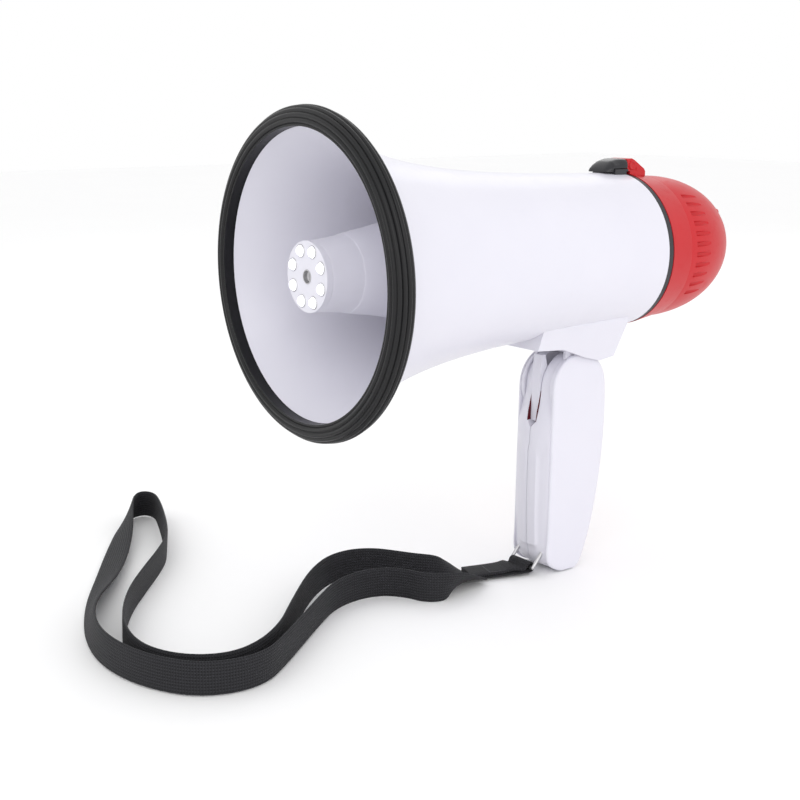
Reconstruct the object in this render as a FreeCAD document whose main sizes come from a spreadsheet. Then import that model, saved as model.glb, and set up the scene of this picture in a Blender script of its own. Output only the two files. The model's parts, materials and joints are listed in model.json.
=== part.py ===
"""Handheld megaphone with a reflex horn, a folding pistol handle and a carrying strap.

Every sub-part is drawn in the horn's own frame: the origin is the centre of the horn's front
edge, +Y runs along the horn to the rear, +Z is up and the mouth faces -Y.  The last step of each
sub-part moves it to the part's frame, which stands on the foot of the handle with its origin
below the middle of the object.
"""
import FreeCAD, Part
import math
import os
import Sketcher

SIZES = {
    # horn and rim
    "horn_length": 190.8, "tube_radius": 39.0, "flare_gain": 29.0, "flare_decay": 49.0,
    "shell_wall": 2.0, "rim_section": 6.2, "rim_overlap": 0.6, "rim_lip": 2.6,
    # reflex cup and lamps
    "face_radius": 16.0, "face_plate": 3.0, "cup_length": 69.0, "cup_radius": 25.0,
    "cup_wall": 1.8, "lamp_circle": 24.1, "lamp_radius": 2.5, "lamp_count": 8,
    "cup_screw_well": 3.3,
    # throat and driver
    "throat_front": 46.0, "throat_bore": 10.0, "throat_mouth": 15.0, "throat_wall": 1.5,
    "throat_flange": 4.0, "driver_start": 96.0, "driver_radius": 36.0, "driver_depth": 22.0,
    "magnet_radius": 26.0, "magnet_depth": 14.0, "yoke_depth": 5.0, "voice_coil": 12.0,
    # battery pack
    "cell_radius": 13.1, "cell_length": 50.0, "cell_play": 0.6, "pack_start": 138.5,
    "pack_plate": 2.0,
    # rear cap
    "band_width": 3.7, "cap_radius": 39.5, "cap_cone": 16.0, "cap_waist": 37.2,
    "dome_reach": 53.2, "dome_power": 2.15, "cap_length": 62.5, "cap_wall": 2.2,
    "skirt_wall": 1.8, "skirt_depth": 9.3, "groove_width": 2.5, "groove_length": 12.0,
    "groove_depth": 1.0, "grille_radius": 8.5, "control_circle": 13.4, "knob_radius": 4.2,
    "knob_height": 1.8, "button_radius": 3.0, "button_height": 1.6, "button_travel": 1.0,
    # latch on top of the tube
    "latch_length": 18.0, "latch_height": 7.3, "latch_width": 15.0, "latch_travel": 3.0,
    "lug_length": 10.2, "lug_width": 13.0,
    # bracket and hinge
    "hinge_back": 157.0, "hinge_below": 29.0, "hinge_pin_radius": 2.5, "bracket_front": 121.0,
    "bracket_back": 179.3, "bracket_top_width": 48.0, "bracket_foot_width": 31.0,
    "cheek_thick": 2.0, "cheek_web": 9.0,
    # handle and trigger
    "handle_round": 18.3, "handle_drop": 97.0, "handle_half": 13.8, "cover_thick": 1.8,
    "handle_wall": 2.2, "trigger_width": 6.0, "trigger_pin_radius": 1.5,
    # bail and strap
    "wire_radius": 0.9, "bail_half": 8.6, "strap_width": 15.0, "strap_thick": 1.3,
    # fits
    "running_fit": 0.05, "body_gap": 0.3, "seat_gap": 0.1,
}

document = FreeCAD.newDocument("megaphone")
sheet = document.addObject("Spreadsheet::Sheet", "sizes")


class Measure:
    """A size that carries its sheet formula and its present value together."""

    def __init__(self, text, value):
        self.text = text
        self.value = float(value)

    @staticmethod
    def of(other):
        if isinstance(other, Measure):
            return other
        return Measure(f"({float(other)!r})", other)

    def join(self, sign, other, value):
        return Measure(f"({self.text} {sign} {other.text})", value)

    def __add__(self, other):
        other = Measure.of(other)
        return self.join("+", other, self.value + other.value)

    def __sub__(self, other):
        other = Measure.of(other)
        return self.join("-", other, self.value - other.value)

    def __mul__(self, other):
        other = Measure.of(other)
        return self.join("*", other, self.value * other.value)

    def __truediv__(self, other):
        other = Measure.of(other)
        return self.join("/", other, self.value / other.value)

    def __radd__(self, other):
        return Measure.of(other) + self

    def __rsub__(self, other):
        return Measure.of(other) - self

    def __rmul__(self, other):
        return Measure.of(other) * self

    def __neg__(self):
        return Measure.of(0.0) - self


class Sizes:
    """The sheet's cells by name."""


def fill_sheet():
    """Write every driving size to the sheet, one aliased row each."""
    sizes = Sizes()
    for row, (name, value) in enumerate(SIZES.items(), start=1):
        sheet.set(f"A{row}", name)
        sheet.set(f"B{row}", str(value))
        sheet.setAlias(f"B{row}", name)
        setattr(sizes, name, Measure(f"sizes.{name}", value))
    document.recompute()
    return sizes


p = fill_sheet()
nodes = []
positions = {}
AXES = {"X": FreeCAD.Vector(1, 0, 0), "Y": FreeCAD.Vector(0, 1, 0), "Z": FreeCAD.Vector(0, 0, 1)}


def bind(item, prop, size):
    """Tie a property to the sheet, or set it when it is a plain number."""
    size = Measure.of(size)
    item.setExpression(prop, size.text)


def place(item, x, y, z):
    """Tie the place of an object to the sheet."""
    positions[item.Name] = (Measure.of(x), Measure.of(y), Measure.of(z))
    bind(item, "Placement.Base.x", x)
    bind(item, "Placement.Base.y", y)
    bind(item, "Placement.Base.z", z)
    return item


def turn(item, axis):
    """Lay an object that is drawn along Z along another axis instead."""
    item.Placement.Rotation = FreeCAD.Rotation(AXES["Z"], AXES[axis])


def origin_plane(body, role):
    for feature in body.Origin.OriginFeatures:
        if feature.Role == role:
            return feature
    raise ValueError(role)


def outline_sketch(body, role, points, offset=0.0):
    """A closed outline whose corners are tied to the sheet, on one of the body's origin planes."""
    sketch = body.newObject("Sketcher::SketchObject", f"{body.Name}_outline")
    sketch.AttachmentSupport = (origin_plane(body, role), "")
    sketch.MapMode = "FlatFace"
    bind(sketch, "AttachmentOffset.Base.z", offset)
    corners = [(Measure.of(u), Measure.of(v)) for u, v in points]
    flat = [FreeCAD.Vector(u.value, v.value, 0) for u, v in corners]
    count = len(flat)
    for index in range(count):
        sketch.addGeometry(Part.LineSegment(flat[index], flat[(index + 1) % count]), False)
    for index in range(count):
        sketch.addConstraint(Sketcher.Constraint("Coincident", index, 2, (index + 1) % count, 1))
    for index, (u, v) in enumerate(corners):
        for kind, size in (("DistanceX", u), ("DistanceY", v)):
            number = sketch.addConstraint(Sketcher.Constraint(kind, index, 1, size.value))
            sketch.setExpression(f"Constraints[{number}]", size.text)
    sketch.Visibility = False
    return sketch


def revolved(name, points):
    """A body turned about the horn's axis; points are (along the axis, radius)."""
    body = document.addObject("PartDesign::Body", name)
    sketch = outline_sketch(body, "YZ_Plane", points)
    feature = body.newObject("PartDesign::Revolution", f"{name}_turn")
    feature.Profile = sketch
    feature.ReferenceAxis = (sketch, ["H_Axis"])
    feature.Angle = 360.0
    return body


def padded(name, role, points, length, offset=0.0, middle=True):
    """A body pushed out of one of its origin planes."""
    body = document.addObject("PartDesign::Body", name)
    sketch = outline_sketch(body, role, points, offset)
    feature = body.newObject("PartDesign::Pad", f"{name}_pad")
    feature.Profile = sketch
    feature.Midplane = middle
    bind(feature, "Length", length)
    return body


def rounded(body, radius, wanted):
    """Fillet the edges of the body's last feature that the test picks."""
    document.recompute()
    base = body.Tip
    names = [f"Edge{n}" for n, edge in enumerate(base.Shape.Edges, start=1) if wanted(edge)]
    feature = body.newObject("PartDesign::Fillet", f"{body.Name}_fillet")
    feature.Base = (base, names)
    bind(feature, "Radius", radius)
    return body


def rod(name, axis, radius, length, x, y, z):
    """A cylinder that starts at x, y, z and runs along an axis."""
    item = document.addObject("Part::Cylinder", name)
    turn(item, axis)
    bind(item, "Radius", radius)
    bind(item, "Height", length)
    return place(item, x, y, z)


def ball(name, radius, x, y, z):
    item = document.addObject("Part::Sphere", name)
    bind(item, "Radius", radius)
    return place(item, x, y, z)


def block(name, x0, x1, y0, y1, z0, z1):
    """A box between two corners."""
    item = document.addObject("Part::Box", name)
    for prop, low, high in (("Length", x0, x1), ("Width", y0, y1), ("Height", z0, z1)):
        bind(item, prop, Measure.of(high) - low)
    return place(item, x0, y0, z0)


def cut(name, base, tools):
    """Take tools away from a base, one after the other."""
    for number, tool in enumerate(tools, start=1):
        result = document.addObject("Part::Cut", f"{name}_less_{number}")
        result.Base = base
        result.Tool = tool
        base = result
    return base


def fused(name, items):
    item = document.addObject("Part::MultiFuse", f"{name}_whole")
    item.Shapes = items
    return item


def common(name, items):
    item = document.addObject("Part::MultiCommon", f"{name}_shared")
    item.Shapes = items
    return item


def group(name, items):
    """Identical loose pieces kept in one node as separate solids."""
    item = document.addObject("Part::Compound", f"{name}_group")
    item.Links = items
    return item


def solid(name, shape):
    """A sub-part whose curve is a formula that no sketch or primitive holds."""
    item = document.addObject("Part::Feature", f"{name}_form")
    item.Shape = shape
    return item


# The part stands on the foot of the handle, and its middle is halfway along it.
axis_height = p.tube_radius + p.hinge_below + p.handle_drop
cap_start = p.horn_length + p.band_width
cap_end = cap_start + p.cap_length
rear_end = cap_end + p.knob_height
middle_shift = -(rear_end - p.rim_section) / 2


def finish(label, item):
    """Name a sub-part, move it to the part's frame and keep it for writing."""
    x, y, z = positions.get(item.Name, (Measure.of(0), Measure.of(0), Measure.of(0)))
    place(item, x, y + middle_shift, z + axis_height)
    item.Label = label
    nodes.append(item)
    return item


def horn_radius(y):
    """Outside radius of the horn at a distance behind its front edge, as plain numbers."""
    return p.tube_radius.value + p.flare_gain.value * math.exp(-y / p.flare_decay.value)


def horn_measure(y):
    """The same radius as a size that follows the sheet."""
    y = Measure.of(y)
    text = f"(sizes.tube_radius + sizes.flare_gain * exp(-{y.text} / sizes.flare_decay))"
    return Measure(text, horn_radius(y.value))


def flare_edge(start, end, inset):
    """The horn's flare as one smooth curve, a constant inset inside its outer face."""
    steps = 14
    along = [start + (end - start) * step / steps for step in range(steps + 1)]
    curve = Part.BSplineCurve()
    curve.interpolate([FreeCAD.Vector(0, y, horn_radius(y) - inset) for y in along])
    return curve.toShape()


def turned_face(edges):
    """Close a row of edges into a face and turn it about the horn's axis."""
    face = Part.Face(Part.Wire(edges))
    return face.revolve(FreeCAD.Vector(0, 0, 0), AXES["Y"], 360)


def line(y0, r0, y1, r1):
    return Part.LineSegment(FreeCAD.Vector(0, y0, r0), FreeCAD.Vector(0, y1, r1)).toShape()


def horn_blank():
    """Everything inside the horn's outer face, used to fit other sub-parts to it."""
    end = p.horn_length.value
    edges = [flare_edge(0.0, end, 0.0), line(end, horn_radius(end), end, 0), line(end, 0, 0, 0),
             line(0, 0, 0, horn_radius(0))]
    return solid("horn_blank", turned_face(edges))


def horn_wall():
    """The bell and the tube in one shell."""
    end = p.horn_length.value
    wall = p.shell_wall.value
    outer = horn_radius(end)
    front = horn_radius(0)
    edges = [flare_edge(0.0, end, 0.0), line(end, outer, end, outer - wall),
             flare_edge(end, 0.0, wall), line(0, front - wall, 0, front)]
    return solid("horn_wall", turned_face(edges))


blank = horn_blank()
screw_shank = Measure.of(1.5)
screw_hole = screw_shank + p.running_fit
bracket_screw_places = (p.bracket_front + 9.0, p.bracket_back - 9.0)


def build_horn():
    """Bell with tube, its two bracket screw holes, and the rubber rim that grips its lip."""
    holes = []
    for number, y in enumerate(bracket_screw_places, start=1):
        holes.append(rod(f"horn_hole_{number}", "Z", screw_hole, 20.0, 0, y, -(p.tube_radius + 8.0)))
    finish("horn_shell", cut("horn_shell", horn_wall(), holes))

    ring = document.addObject("Part::Torus", "rim_ring")
    turn(ring, "Y")
    bind(ring, "Radius1", p.tube_radius + p.flare_gain + p.rim_overlap)
    bind(ring, "Radius2", p.rim_section)
    mouth = rod("rim_mouth", "Y", p.tube_radius + p.flare_gain - p.rim_lip, p.rim_section * 2,
                0, -p.rim_section * 1.5, 0)
    finish("rim_bumper", cut("rim_bumper", ring, [mouth, blank]))


lamp_board_back = p.face_plate + 3.4


def lamp_place(number):
    """Centre of one lamp on its circle, the first one up and to the left of the middle."""
    angle = math.radians(113.4 - 360.0 * number / p.lamp_count.value)
    return p.lamp_circle / 2 * math.cos(angle), p.lamp_circle / 2 * math.sin(angle)


def build_reflex_cup():
    """Cup that turns the sound round, with the lamp plate, lamps and board in its nose."""
    wall = p.cup_wall
    nose = p.face_radius
    rear = p.cup_radius
    plate = p.face_plate
    end = p.cup_length
    cup = revolved("reflex_cup_body", [
        (plate, nose), (plate + 7.0, nose), (plate + 14.0, nose + 1.6), (end * 0.5, nose + 4.6),
        (end * 0.6, nose + 6.4), (end * 0.8, rear - 0.6), (end, rear),
        (end, rear - wall), (end * 0.8, rear - 0.6 - wall), (end * 0.6, nose + 6.4 - wall),
        (end * 0.5, nose + 4.6 - wall), (plate + 14.0, nose + 1.6 - wall),
        (lamp_board_back + wall, p.cup_screw_well + 1.0),
        (lamp_board_back + wall, screw_hole), (lamp_board_back, screw_hole),
        (lamp_board_back, nose - wall), (plate, nose - wall)])
    finish("reflex_cup", cup)

    holes = []
    lamps = []
    for number in range(int(p.lamp_count.value)):
        x, z = lamp_place(number)
        holes.append(rod(f"lamp_hole_{number}", "Y", p.lamp_radius + p.seat_gap, plate * 2,
                         x, -plate / 2, z))
        barrel = rod(f"lamp_barrel_{number}", "Y", p.lamp_radius, plate - 0.4, x, 0.4, z)
        dome = ball(f"lamp_dome_{number}", p.lamp_radius, x, 0.4, z)
        lamps.append(fused(f"lamp_{number}", [barrel, dome]))
    disc = rod("lamp_plate_disc", "Y", nose, plate, 0, 0, 0)
    holes.append(rod("lamp_plate_well", "Y", p.cup_screw_well, plate * 2, 0, -plate / 2, 0))
    finish("lamp_plate", cut("lamp_plate", disc, holes))
    finish("lamps", group("lamps", lamps))

    board = rod("lamp_board_disc", "Y", nose - wall - p.seat_gap, lamp_board_back - plate - 0.4,
                0, plate + 0.4, 0)
    well = rod("lamp_board_well", "Y", p.cup_screw_well, plate * 3, 0, 0, 0)
    finish("lamp_board", cut("lamp_board", board, [well]))

    head = rod("cup_screw_head", "Y", p.cup_screw_well - 0.4, 2.4, 0, lamp_board_back - 2.4, 0)
    shank = rod("cup_screw_shank", "Y", screw_shank, p.throat_front + 8.0 - lamp_board_back,
                0, lamp_board_back, 0)
    slot = block("cup_screw_slot", -p.cup_screw_well, p.cup_screw_well, 0, lamp_board_back - 1.4,
                 -0.4, 0.4)
    finish("cup_screw", cut("cup_screw", fused("cup_screw", [head, shank]), [slot]))


def build_throat():
    """Throat tube with its spider and the flange that closes the tube behind the bell."""
    front = p.throat_front
    rear = p.driver_start
    wall = p.throat_wall
    flange = horn_measure(rear) - p.shell_wall - p.seat_gap
    tube = revolved("throat_tube", [
        (front, p.throat_mouth), (front, p.throat_mouth + wall),
        (rear - p.throat_flange - 3.0, p.throat_bore + wall),
        (rear - p.throat_flange, p.throat_bore + wall + 3.0), (rear - p.throat_flange, flange),
        (rear, flange), (rear, p.throat_bore), (rear - p.throat_flange - 3.0, p.throat_bore)])
    arms = [block("throat_arm_x", -p.throat_mouth - wall / 2, p.throat_mouth + wall / 2,
                  front, front + 6.0, -1.2, 1.2),
            block("throat_arm_z", -1.2, 1.2, front, front + 6.0,
                  -p.throat_mouth - wall / 2, p.throat_mouth + wall / 2),
            rod("throat_hub", "Y", 4.0, 10.0, 0, front, 0)]
    bore = rod("throat_hub_bore", "Y", screw_hole, 12.0, 0, front - 1.0, 0)
    flange_holes = corner_rods("throat_screw_hole", screw_hole, p.throat_flange + 2.0,
                               rear - p.throat_flange - 1.0, driver_screw_circle)
    throat = cut("throat_horn", fused("throat_horn", [tube] + arms), [bore] + flange_holes)
    finish("throat_horn", throat)


def corner_rods(name, radius, length, start, circle):
    """Four rods along the horn on the diagonals of a circle of the given radius."""
    rods = []
    for number, (side, up) in enumerate(((1, 1), (-1, 1), (-1, -1), (1, -1))):
        half = circle * math.sqrt(0.5)
        rods.append(rod(f"{name}_{number}", "Y", radius, length, half * side, start, half * up))
    return rods


driver_screw_circle = p.driver_radius - 4.0


def build_driver():
    """Horn driver: basket, diaphragm, ring magnet, yoke with pole piece, and four screws."""
    start = p.driver_start
    rear = start + p.driver_depth
    outer = p.driver_radius
    magnet_end = rear + p.magnet_depth
    coil = p.voice_coil
    basket = revolved("driver_basket", [
        (start, outer - 9.5), (start, outer), (start + 3.0, outer), (start + 3.0, outer - 7.6),
        (rear - 3.0, p.magnet_radius), (rear, p.magnet_radius), (rear, coil + 2.0),
        (rear - 2.0, coil + 2.0), (rear - 4.0, p.magnet_radius - 2.0),
        (start + 3.0, outer - 9.5)])
    holes = corner_rods("basket_screw_hole", screw_hole, 6.0, start - 1.0, driver_screw_circle)
    finish("driver_frame", cut("driver_frame", basket, holes))

    cone = revolved("driver_cone", [
        (start + 0.6, 0.0), (start + 1.6, coil / 2), (start + 4.4, coil - 0.5),
        (start + 1.0, outer - 11.0), (start + 2.0, outer - 10.6), (start + 5.4, coil + 0.5),
        (rear - 1.0, coil + 0.5), (rear - 1.0, coil), (start + 5.6, coil),
        (start + 2.6, coil / 2), (start + 1.6, 0.0)])
    finish("driver_diaphragm", cone)

    magnet = rod("magnet_disc", "Y", p.magnet_radius, p.magnet_depth, 0, rear, 0)
    hollow = rod("magnet_hollow", "Y", coil + 2.0, p.magnet_depth, 0, rear, 0)
    finish("driver_magnet", cut("driver_magnet", magnet, [hollow]))

    plate = rod("yoke_plate", "Y", p.magnet_radius - 0.5, p.yoke_depth, 0, magnet_end, 0)
    pole = rod("yoke_pole", "Y", coil - 1.2, p.magnet_depth, 0, rear, 0)
    finish("driver_yoke", fused("driver_yoke", [plate, pole]))

    heads = corner_rods("driver_screw_head", screw_shank * 1.8, 1.8, start + 3.0,
                        driver_screw_circle)
    shanks = corner_rods("driver_screw_shank", screw_shank, 3.0 + p.throat_flange,
                         start - p.throat_flange, driver_screw_circle)
    screws = [fused(f"driver_screw_{n}", pair) for n, pair in enumerate(zip(heads, shanks))]
    finish("driver_screws", group("driver_screws", screws))


cell_circle = p.cell_radius * math.sqrt(2.0) + p.cell_play / 2
pack_radius = cell_circle + p.cell_radius + p.cell_play
cells_start = p.pack_start + p.pack_plate + p.cell_play
cells_end = cells_start + p.cell_length


def build_battery_pack():
    """Four C cells between two plates on a centre rod, with contact strips at each end."""
    rear_plate = cells_end + p.cell_play
    plates = [rod("pack_front_plate", "Y", pack_radius, p.pack_plate, 0, p.pack_start, 0),
              rod("pack_rear_plate", "Y", pack_radius, p.pack_plate, 0, rear_plate, 0),
              rod("pack_rod", "Y", 4.4, rear_plate - p.pack_start, 0, p.pack_start, 0)]
    finish("battery_holder", fused("battery_holder", plates))

    cells = []
    cans = corner_rods("cell_can", p.cell_radius, p.cell_length - 2.0, cells_start, cell_circle)
    tips = corner_rods("cell_tip", 3.4, p.cell_length, cells_start, cell_circle)
    for number, pair in enumerate(zip(cans, tips)):
        cells.append(fused(f"cell_{number}", pair))
    finish("battery_cells", group("battery_cells", cells))

    strips = []
    for number, side in enumerate((1, -1)):
        strips.append(block(f"contact_front_{number}", -cell_circle * 0.9, cell_circle * 0.9,
                            p.pack_start + p.pack_plate, cells_start,
                            cell_circle * 0.7 * side - 4.0, cell_circle * 0.7 * side + 4.0))
        strips.append(block(f"contact_rear_{number}",
                            cell_circle * 0.7 * side - 4.0, cell_circle * 0.7 * side + 4.0,
                            cells_end, rear_plate, -cell_circle * 0.9, cell_circle * 0.9))
    finish("battery_contacts", group("battery_contacts", strips))


dome_start = cap_start + p.cap_cone
skirt_inside = pack_radius + p.body_gap
skirt_outside = skirt_inside + p.skirt_wall
tube_bore = horn_measure(p.horn_length) - p.shell_wall
BAYONET_ANGLES = (90, 210, 330)
BAYONET_TWIST = 30


def polar_block(name, angle, near, far, half_width, y0, y1):
    """A box that stands out from the horn's axis at an angle about it."""
    item = document.addObject("Part::Box", name)
    item.Placement.Rotation = FreeCAD.Rotation(AXES["Y"], -angle)
    turn_x = math.cos(math.radians(angle))
    turn_z = math.sin(math.radians(angle))
    bind(item, "Length", Measure.of(far) - near)
    bind(item, "Width", Measure.of(y1) - y0)
    bind(item, "Height", half_width * 2)
    return place(item, near * turn_x + half_width * turn_z, y0, near * turn_z - half_width * turn_x)


def build_bayonet():
    """Black ring in the tube's end that the cap's skirt turns in."""
    end = p.horn_length
    bore = skirt_outside + p.running_fit
    track = skirt_outside + 1.3
    ring = revolved("bayonet_body", [
        (end, tube_bore - p.seat_gap), (end, p.cap_radius - 0.4),
        (cap_start - p.seat_gap, p.cap_radius - 0.4), (cap_start - p.seat_gap, bore),
        (end - 2.0, bore), (end - 2.0, track), (end - 5.0, track), (end - 5.0, bore),
        (end - 8.0, bore), (end - 8.0, tube_bore - p.seat_gap)])
    gates = []
    for number, angle in enumerate(BAYONET_ANGLES):
        gates.append(polar_block(f"bayonet_gate_{number}", angle + BAYONET_TWIST,
                                 skirt_inside, track, Measure.of(5.0), end - 4.0, cap_start))
    finish("bayonet_ring", cut("bayonet_ring", ring, gates))


def dome_radius(y, inset):
    """Radius of the cap's dome: a full, slightly squared-off ellipse."""
    share = (y - dome_start.value) / p.dome_reach.value
    power = p.dome_power.value
    return p.cap_waist.value * (1.0 - share ** power) ** (1.0 / power) - inset


def dome_edge(start, end, inset):
    steps = 12
    along = [start + (end - start) * step / steps for step in range(steps + 1)]
    curve = Part.BSplineCurve()
    curve.interpolate([FreeCAD.Vector(0, y, dome_radius(y, inset)) for y in along])
    return curve.toShape()


def cap_shape():
    """The rear cap's wall with its skirt, grip grooves and lug."""
    wall = p.cap_wall.value
    start = cap_start.value
    dome = dome_start.value
    end = cap_end.value
    skirt_in = skirt_inside.value
    skirt_out = skirt_outside.value
    skirt_end = start - p.skirt_depth.value
    radius = p.cap_radius.value
    waist = p.cap_waist.value
    inner_end = end - wall
    edges = [
        line(start, radius, dome, waist), dome_edge(dome, end, 0.0),
        line(end, dome_radius(end, 0.0), end, 0), line(end, 0, inner_end, 0),
        line(inner_end, 0, inner_end, dome_radius(inner_end, wall)),
        dome_edge(inner_end, dome, wall), line(dome, waist - wall, start + wall, radius - wall),
        line(start + wall, radius - wall, start + wall, skirt_in),
        line(start + wall, skirt_in, skirt_end, skirt_in),
        line(skirt_end, skirt_in, skirt_end, skirt_out), line(skirt_end, skirt_out, start, skirt_out),
        line(start, skirt_out, start, radius)]
    shell = turned_face(edges)

    width = p.groove_width.value
    row = dome + 4.0
    grooves = []
    for side in (1, -1):
        for number in range(11):
            angle = math.radians(48.0 - 8.4 * number)
            reach = dome_radius(row + p.groove_length.value / 2, 0.0) + width / 2
            reach -= p.groove_depth.value
            foot = FreeCAD.Vector(side * reach * math.cos(angle), row, reach * math.sin(angle))
            grooves.append(Part.makeCylinder(width / 2, p.groove_length.value, foot, AXES["Y"]))
    shell = shell.cut(Part.makeCompound(grooves))

    half = p.lug_width.value / 2
    front = lug_front.value
    top = latch_top.value
    rear = front + p.lug_length.value
    root = radius - wall * 0.9
    over_band = radius + 0.8
    corners = [(front, over_band), (front, top - 0.4), (front + 2.9, top - 0.2),
               (rear - 0.9, top - 4.6), (rear, root + 0.5), (rear, root - 1.0),
               (start + 0.3, root - 1.0), (start + 0.3, over_band)]
    ring = [FreeCAD.Vector(-half, y, z) for y, z in corners]
    lug = Part.Face(Part.makePolygon(ring + ring[:1])).extrude(FreeCAD.Vector(2 * half, 0, 0))
    for y, z, size in ((front + 3.2, top - 3.6, 2.1), (front + 7.3, top - 5.4, 0.9)):
        boss = Part.makeCylinder(size, 2 * half + 0.8, FreeCAD.Vector(-half - 0.4, y, z), AXES["X"])
        lug = lug.fuse(boss)
    return shell.fuse(lug).removeSplitter()


latch_top = p.tube_radius + p.latch_height + 0.4
latch_front = p.horn_length + 1.6 - p.latch_length
latch_back = latch_front + p.latch_length
lug_front = latch_back + p.body_gap


def build_cap():
    """Red rear cap with the microphone, volume control, siren button and amplifier."""
    end = cap_end
    inner = end - p.cap_wall
    reach = p.control_circle
    shaft = Measure.of(1.5)
    lugs = []
    for number, angle in enumerate(BAYONET_ANGLES):
        lugs.append(polar_block(f"cap_lug_{number}", angle, skirt_inside + 0.6,
                                skirt_outside + 1.1, Measure.of(3.0),
                                p.horn_length - 4.8, p.horn_length - 2.3))
    posts = []
    for number, angle in enumerate((45, 135, 225, 315)):
        turn_x = math.cos(math.radians(angle))
        turn_z = math.sin(math.radians(angle))
        posts.append(rod(f"cap_post_{number}", "Y", 2.0, end - 6.0 - board_back,
                         post_circle * turn_x, board_back, post_circle * turn_z))
    tools = [rod("cap_mic_port", "Y", p.grille_radius - 1.5, p.cap_wall * 2, 0, inner - 1.0, 0),
             rod("cap_grille_seat", "Y", p.grille_radius + p.seat_gap, 4.0, 0, end - 1.0, 0),
             rod("cap_knob_bore", "Y", shaft + p.running_fit, p.cap_wall * 2, -reach, inner - 1.0, 0),
             rod("cap_button_bore", "Y", p.button_radius + p.running_fit, p.cap_wall * 2,
                 0, inner - 1.0, -reach)]
    whole = fused("rear_cap", [solid("rear_cap", cap_shape())] + lugs + posts)
    finish("rear_cap", cut("rear_cap", whole, tools))

    grille = rod("grille_disc", "Y", p.grille_radius, 1.6, 0, end - 1.0, 0)
    slots = []
    for number in range(-2, 3):
        half = p.grille_radius * 0.8 * math.sqrt(1.0 - (number / 3.2) ** 2)
        slots.append(block(f"grille_slot_{number + 2}", -half, half, end - 2.0, end + 2.0,
                           number * 2.4 - 0.6, number * 2.4 + 0.6))
    finish("mic_grille", cut("mic_grille", grille, slots))
    foam = rod("foam_disc", "Y", p.grille_radius - 1.7, p.cap_wall - 1.1, 0, inner, 0)
    finish("mic_foam", foam)
    finish("mic_capsule", rod("mic_capsule_can", "Y", 4.9, 6.0, 0, inner - 6.1, 0))

    pot = rod("pot_body", "Y", 3.6, 6.0, -reach, inner - 6.0, 0)
    pot_bore = rod("pot_bore", "Y", shaft + p.running_fit, 5.0, -reach, inner - 4.0, 0)
    finish("volume_pot", cut("volume_pot", pot, [pot_bore]))
    knob = rod("knob_disc", "Y", p.knob_radius, p.knob_height - p.body_gap,
               -reach, end + p.body_gap, 0)
    stem = rod("knob_stem", "Y", shaft, p.cap_wall + 3.5 + p.body_gap, -reach, inner - 3.5, 0)
    mark = block("knob_mark", -reach - 0.4, -reach + 0.4, end + p.knob_height - 0.5,
                 end + p.knob_height + 1.0, 0.8, p.knob_radius)
    finish("volume_knob", cut("volume_knob", fused("volume_knob", [knob, stem]), [mark]))

    foot = inner - 1.4
    plunger = rod("button_plunger", "Y", p.button_radius, end + p.button_height - foot,
                  0, foot, -reach)
    collar = rod("button_collar", "Y", p.button_radius + 0.8, 1.0, 0, foot, -reach)
    finish("siren_button", fused("siren_button", [plunger, collar]))
    switch_face = foot - p.button_travel - 0.2
    finish("siren_switch", block("siren_switch_body", -3.0, 3.0, switch_face - 4.0, switch_face,
                                 -reach - 3.0, -reach + 3.0))

    board = rod("amplifier_disc", "Y", post_circle + 4.0, board_back - board_front,
                0, board_front, 0)
    finish("amplifier_board", board)
    chips = [rod("capacitor_1", "Y", 5.0, 16.0, 12.0, board_back, 4.0),
             rod("capacitor_2", "Y", 4.0, 12.0, -12.0, board_back, 5.0),
             block("amplifier_chip", -9.0, 9.0, board_back, board_back + 3.0, -8.0, -2.0),
             block("heat_sink", -9.0, 9.0, board_back, board_back + 14.0, -19.0, -15.0)]
    finish("amplifier_parts", group("amplifier_parts", chips))


board_front = dome_start + 1.5
board_back = board_front + 1.6
post_circle = p.cap_waist * 0.65


def build_latch():
    """Sliding catch on top of the tube and the rail plate that it runs on."""
    low = horn_measure(latch_front - p.latch_travel) + p.body_gap
    step = latch_front + 8.0
    plate_top = low + 1.4
    half = p.latch_width / 2
    wedge = padded("latch_wedge", "YZ_Plane", [
        (latch_front, low), (step, low), (step, plate_top + p.body_gap),
        (latch_back, plate_top + p.body_gap), (latch_back, latch_top),
        (latch_back - 6.0, latch_top), (latch_front + 7.0, latch_top - 2.2),
        (latch_front + 0.6, low + 0.9)], p.latch_width)
    wanted = latch_top.value - 3.0
    rounded(wedge, Measure.of(1.6), lambda edge: edge.BoundBox.ZMax > wanted
            and edge.BoundBox.XLength < 0.1 and edge.BoundBox.YLength > 5.5)
    channel = block("latch_channel", -2.7, 2.7, step, latch_back + 1.0, low, plate_top + 2.3)
    finish("latch_slide", cut("latch_slide", wedge, [channel]))

    plate = block("latch_plate", -half - 0.6, half + 0.6, step + p.body_gap, latch_back - 0.3,
                  low - 6.0, plate_top)
    rail = block("latch_rail", -2.4, 2.4, step + 3.8, latch_back - 0.3, low - 6.0, plate_top + 2.0)
    end_stop = block("latch_plate_end", -half - 1.0, half + 1.0, p.horn_length, latch_back + 1.0,
                     low - 8.0, low + 0.2)
    finish("latch_base", cut("latch_base", fused("latch_base", [plate, rail]),
                             [blank, end_stop]))


hinge_y = p.hinge_back
hinge_z = -(p.tube_radius + p.hinge_below)
arch = p.handle_round + 1.0
cover_inside = p.handle_half - p.cover_thick
core_half = p.handle_half - 4.4
cheek_inside = core_half + p.body_gap
cheek_radius = p.handle_round - p.body_gap
cheek_outside = cheek_inside + p.cheek_thick
trigger_reach = p.handle_round + 6.5
SIDES = (("right", 1), ("left", -1))


def cross_rod(name, radius, half, y, z):
    """A rod across the object, the same length on both sides of the middle."""
    return rod(name, "X", radius, Measure.of(half) * 2, -half, y, z)


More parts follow.
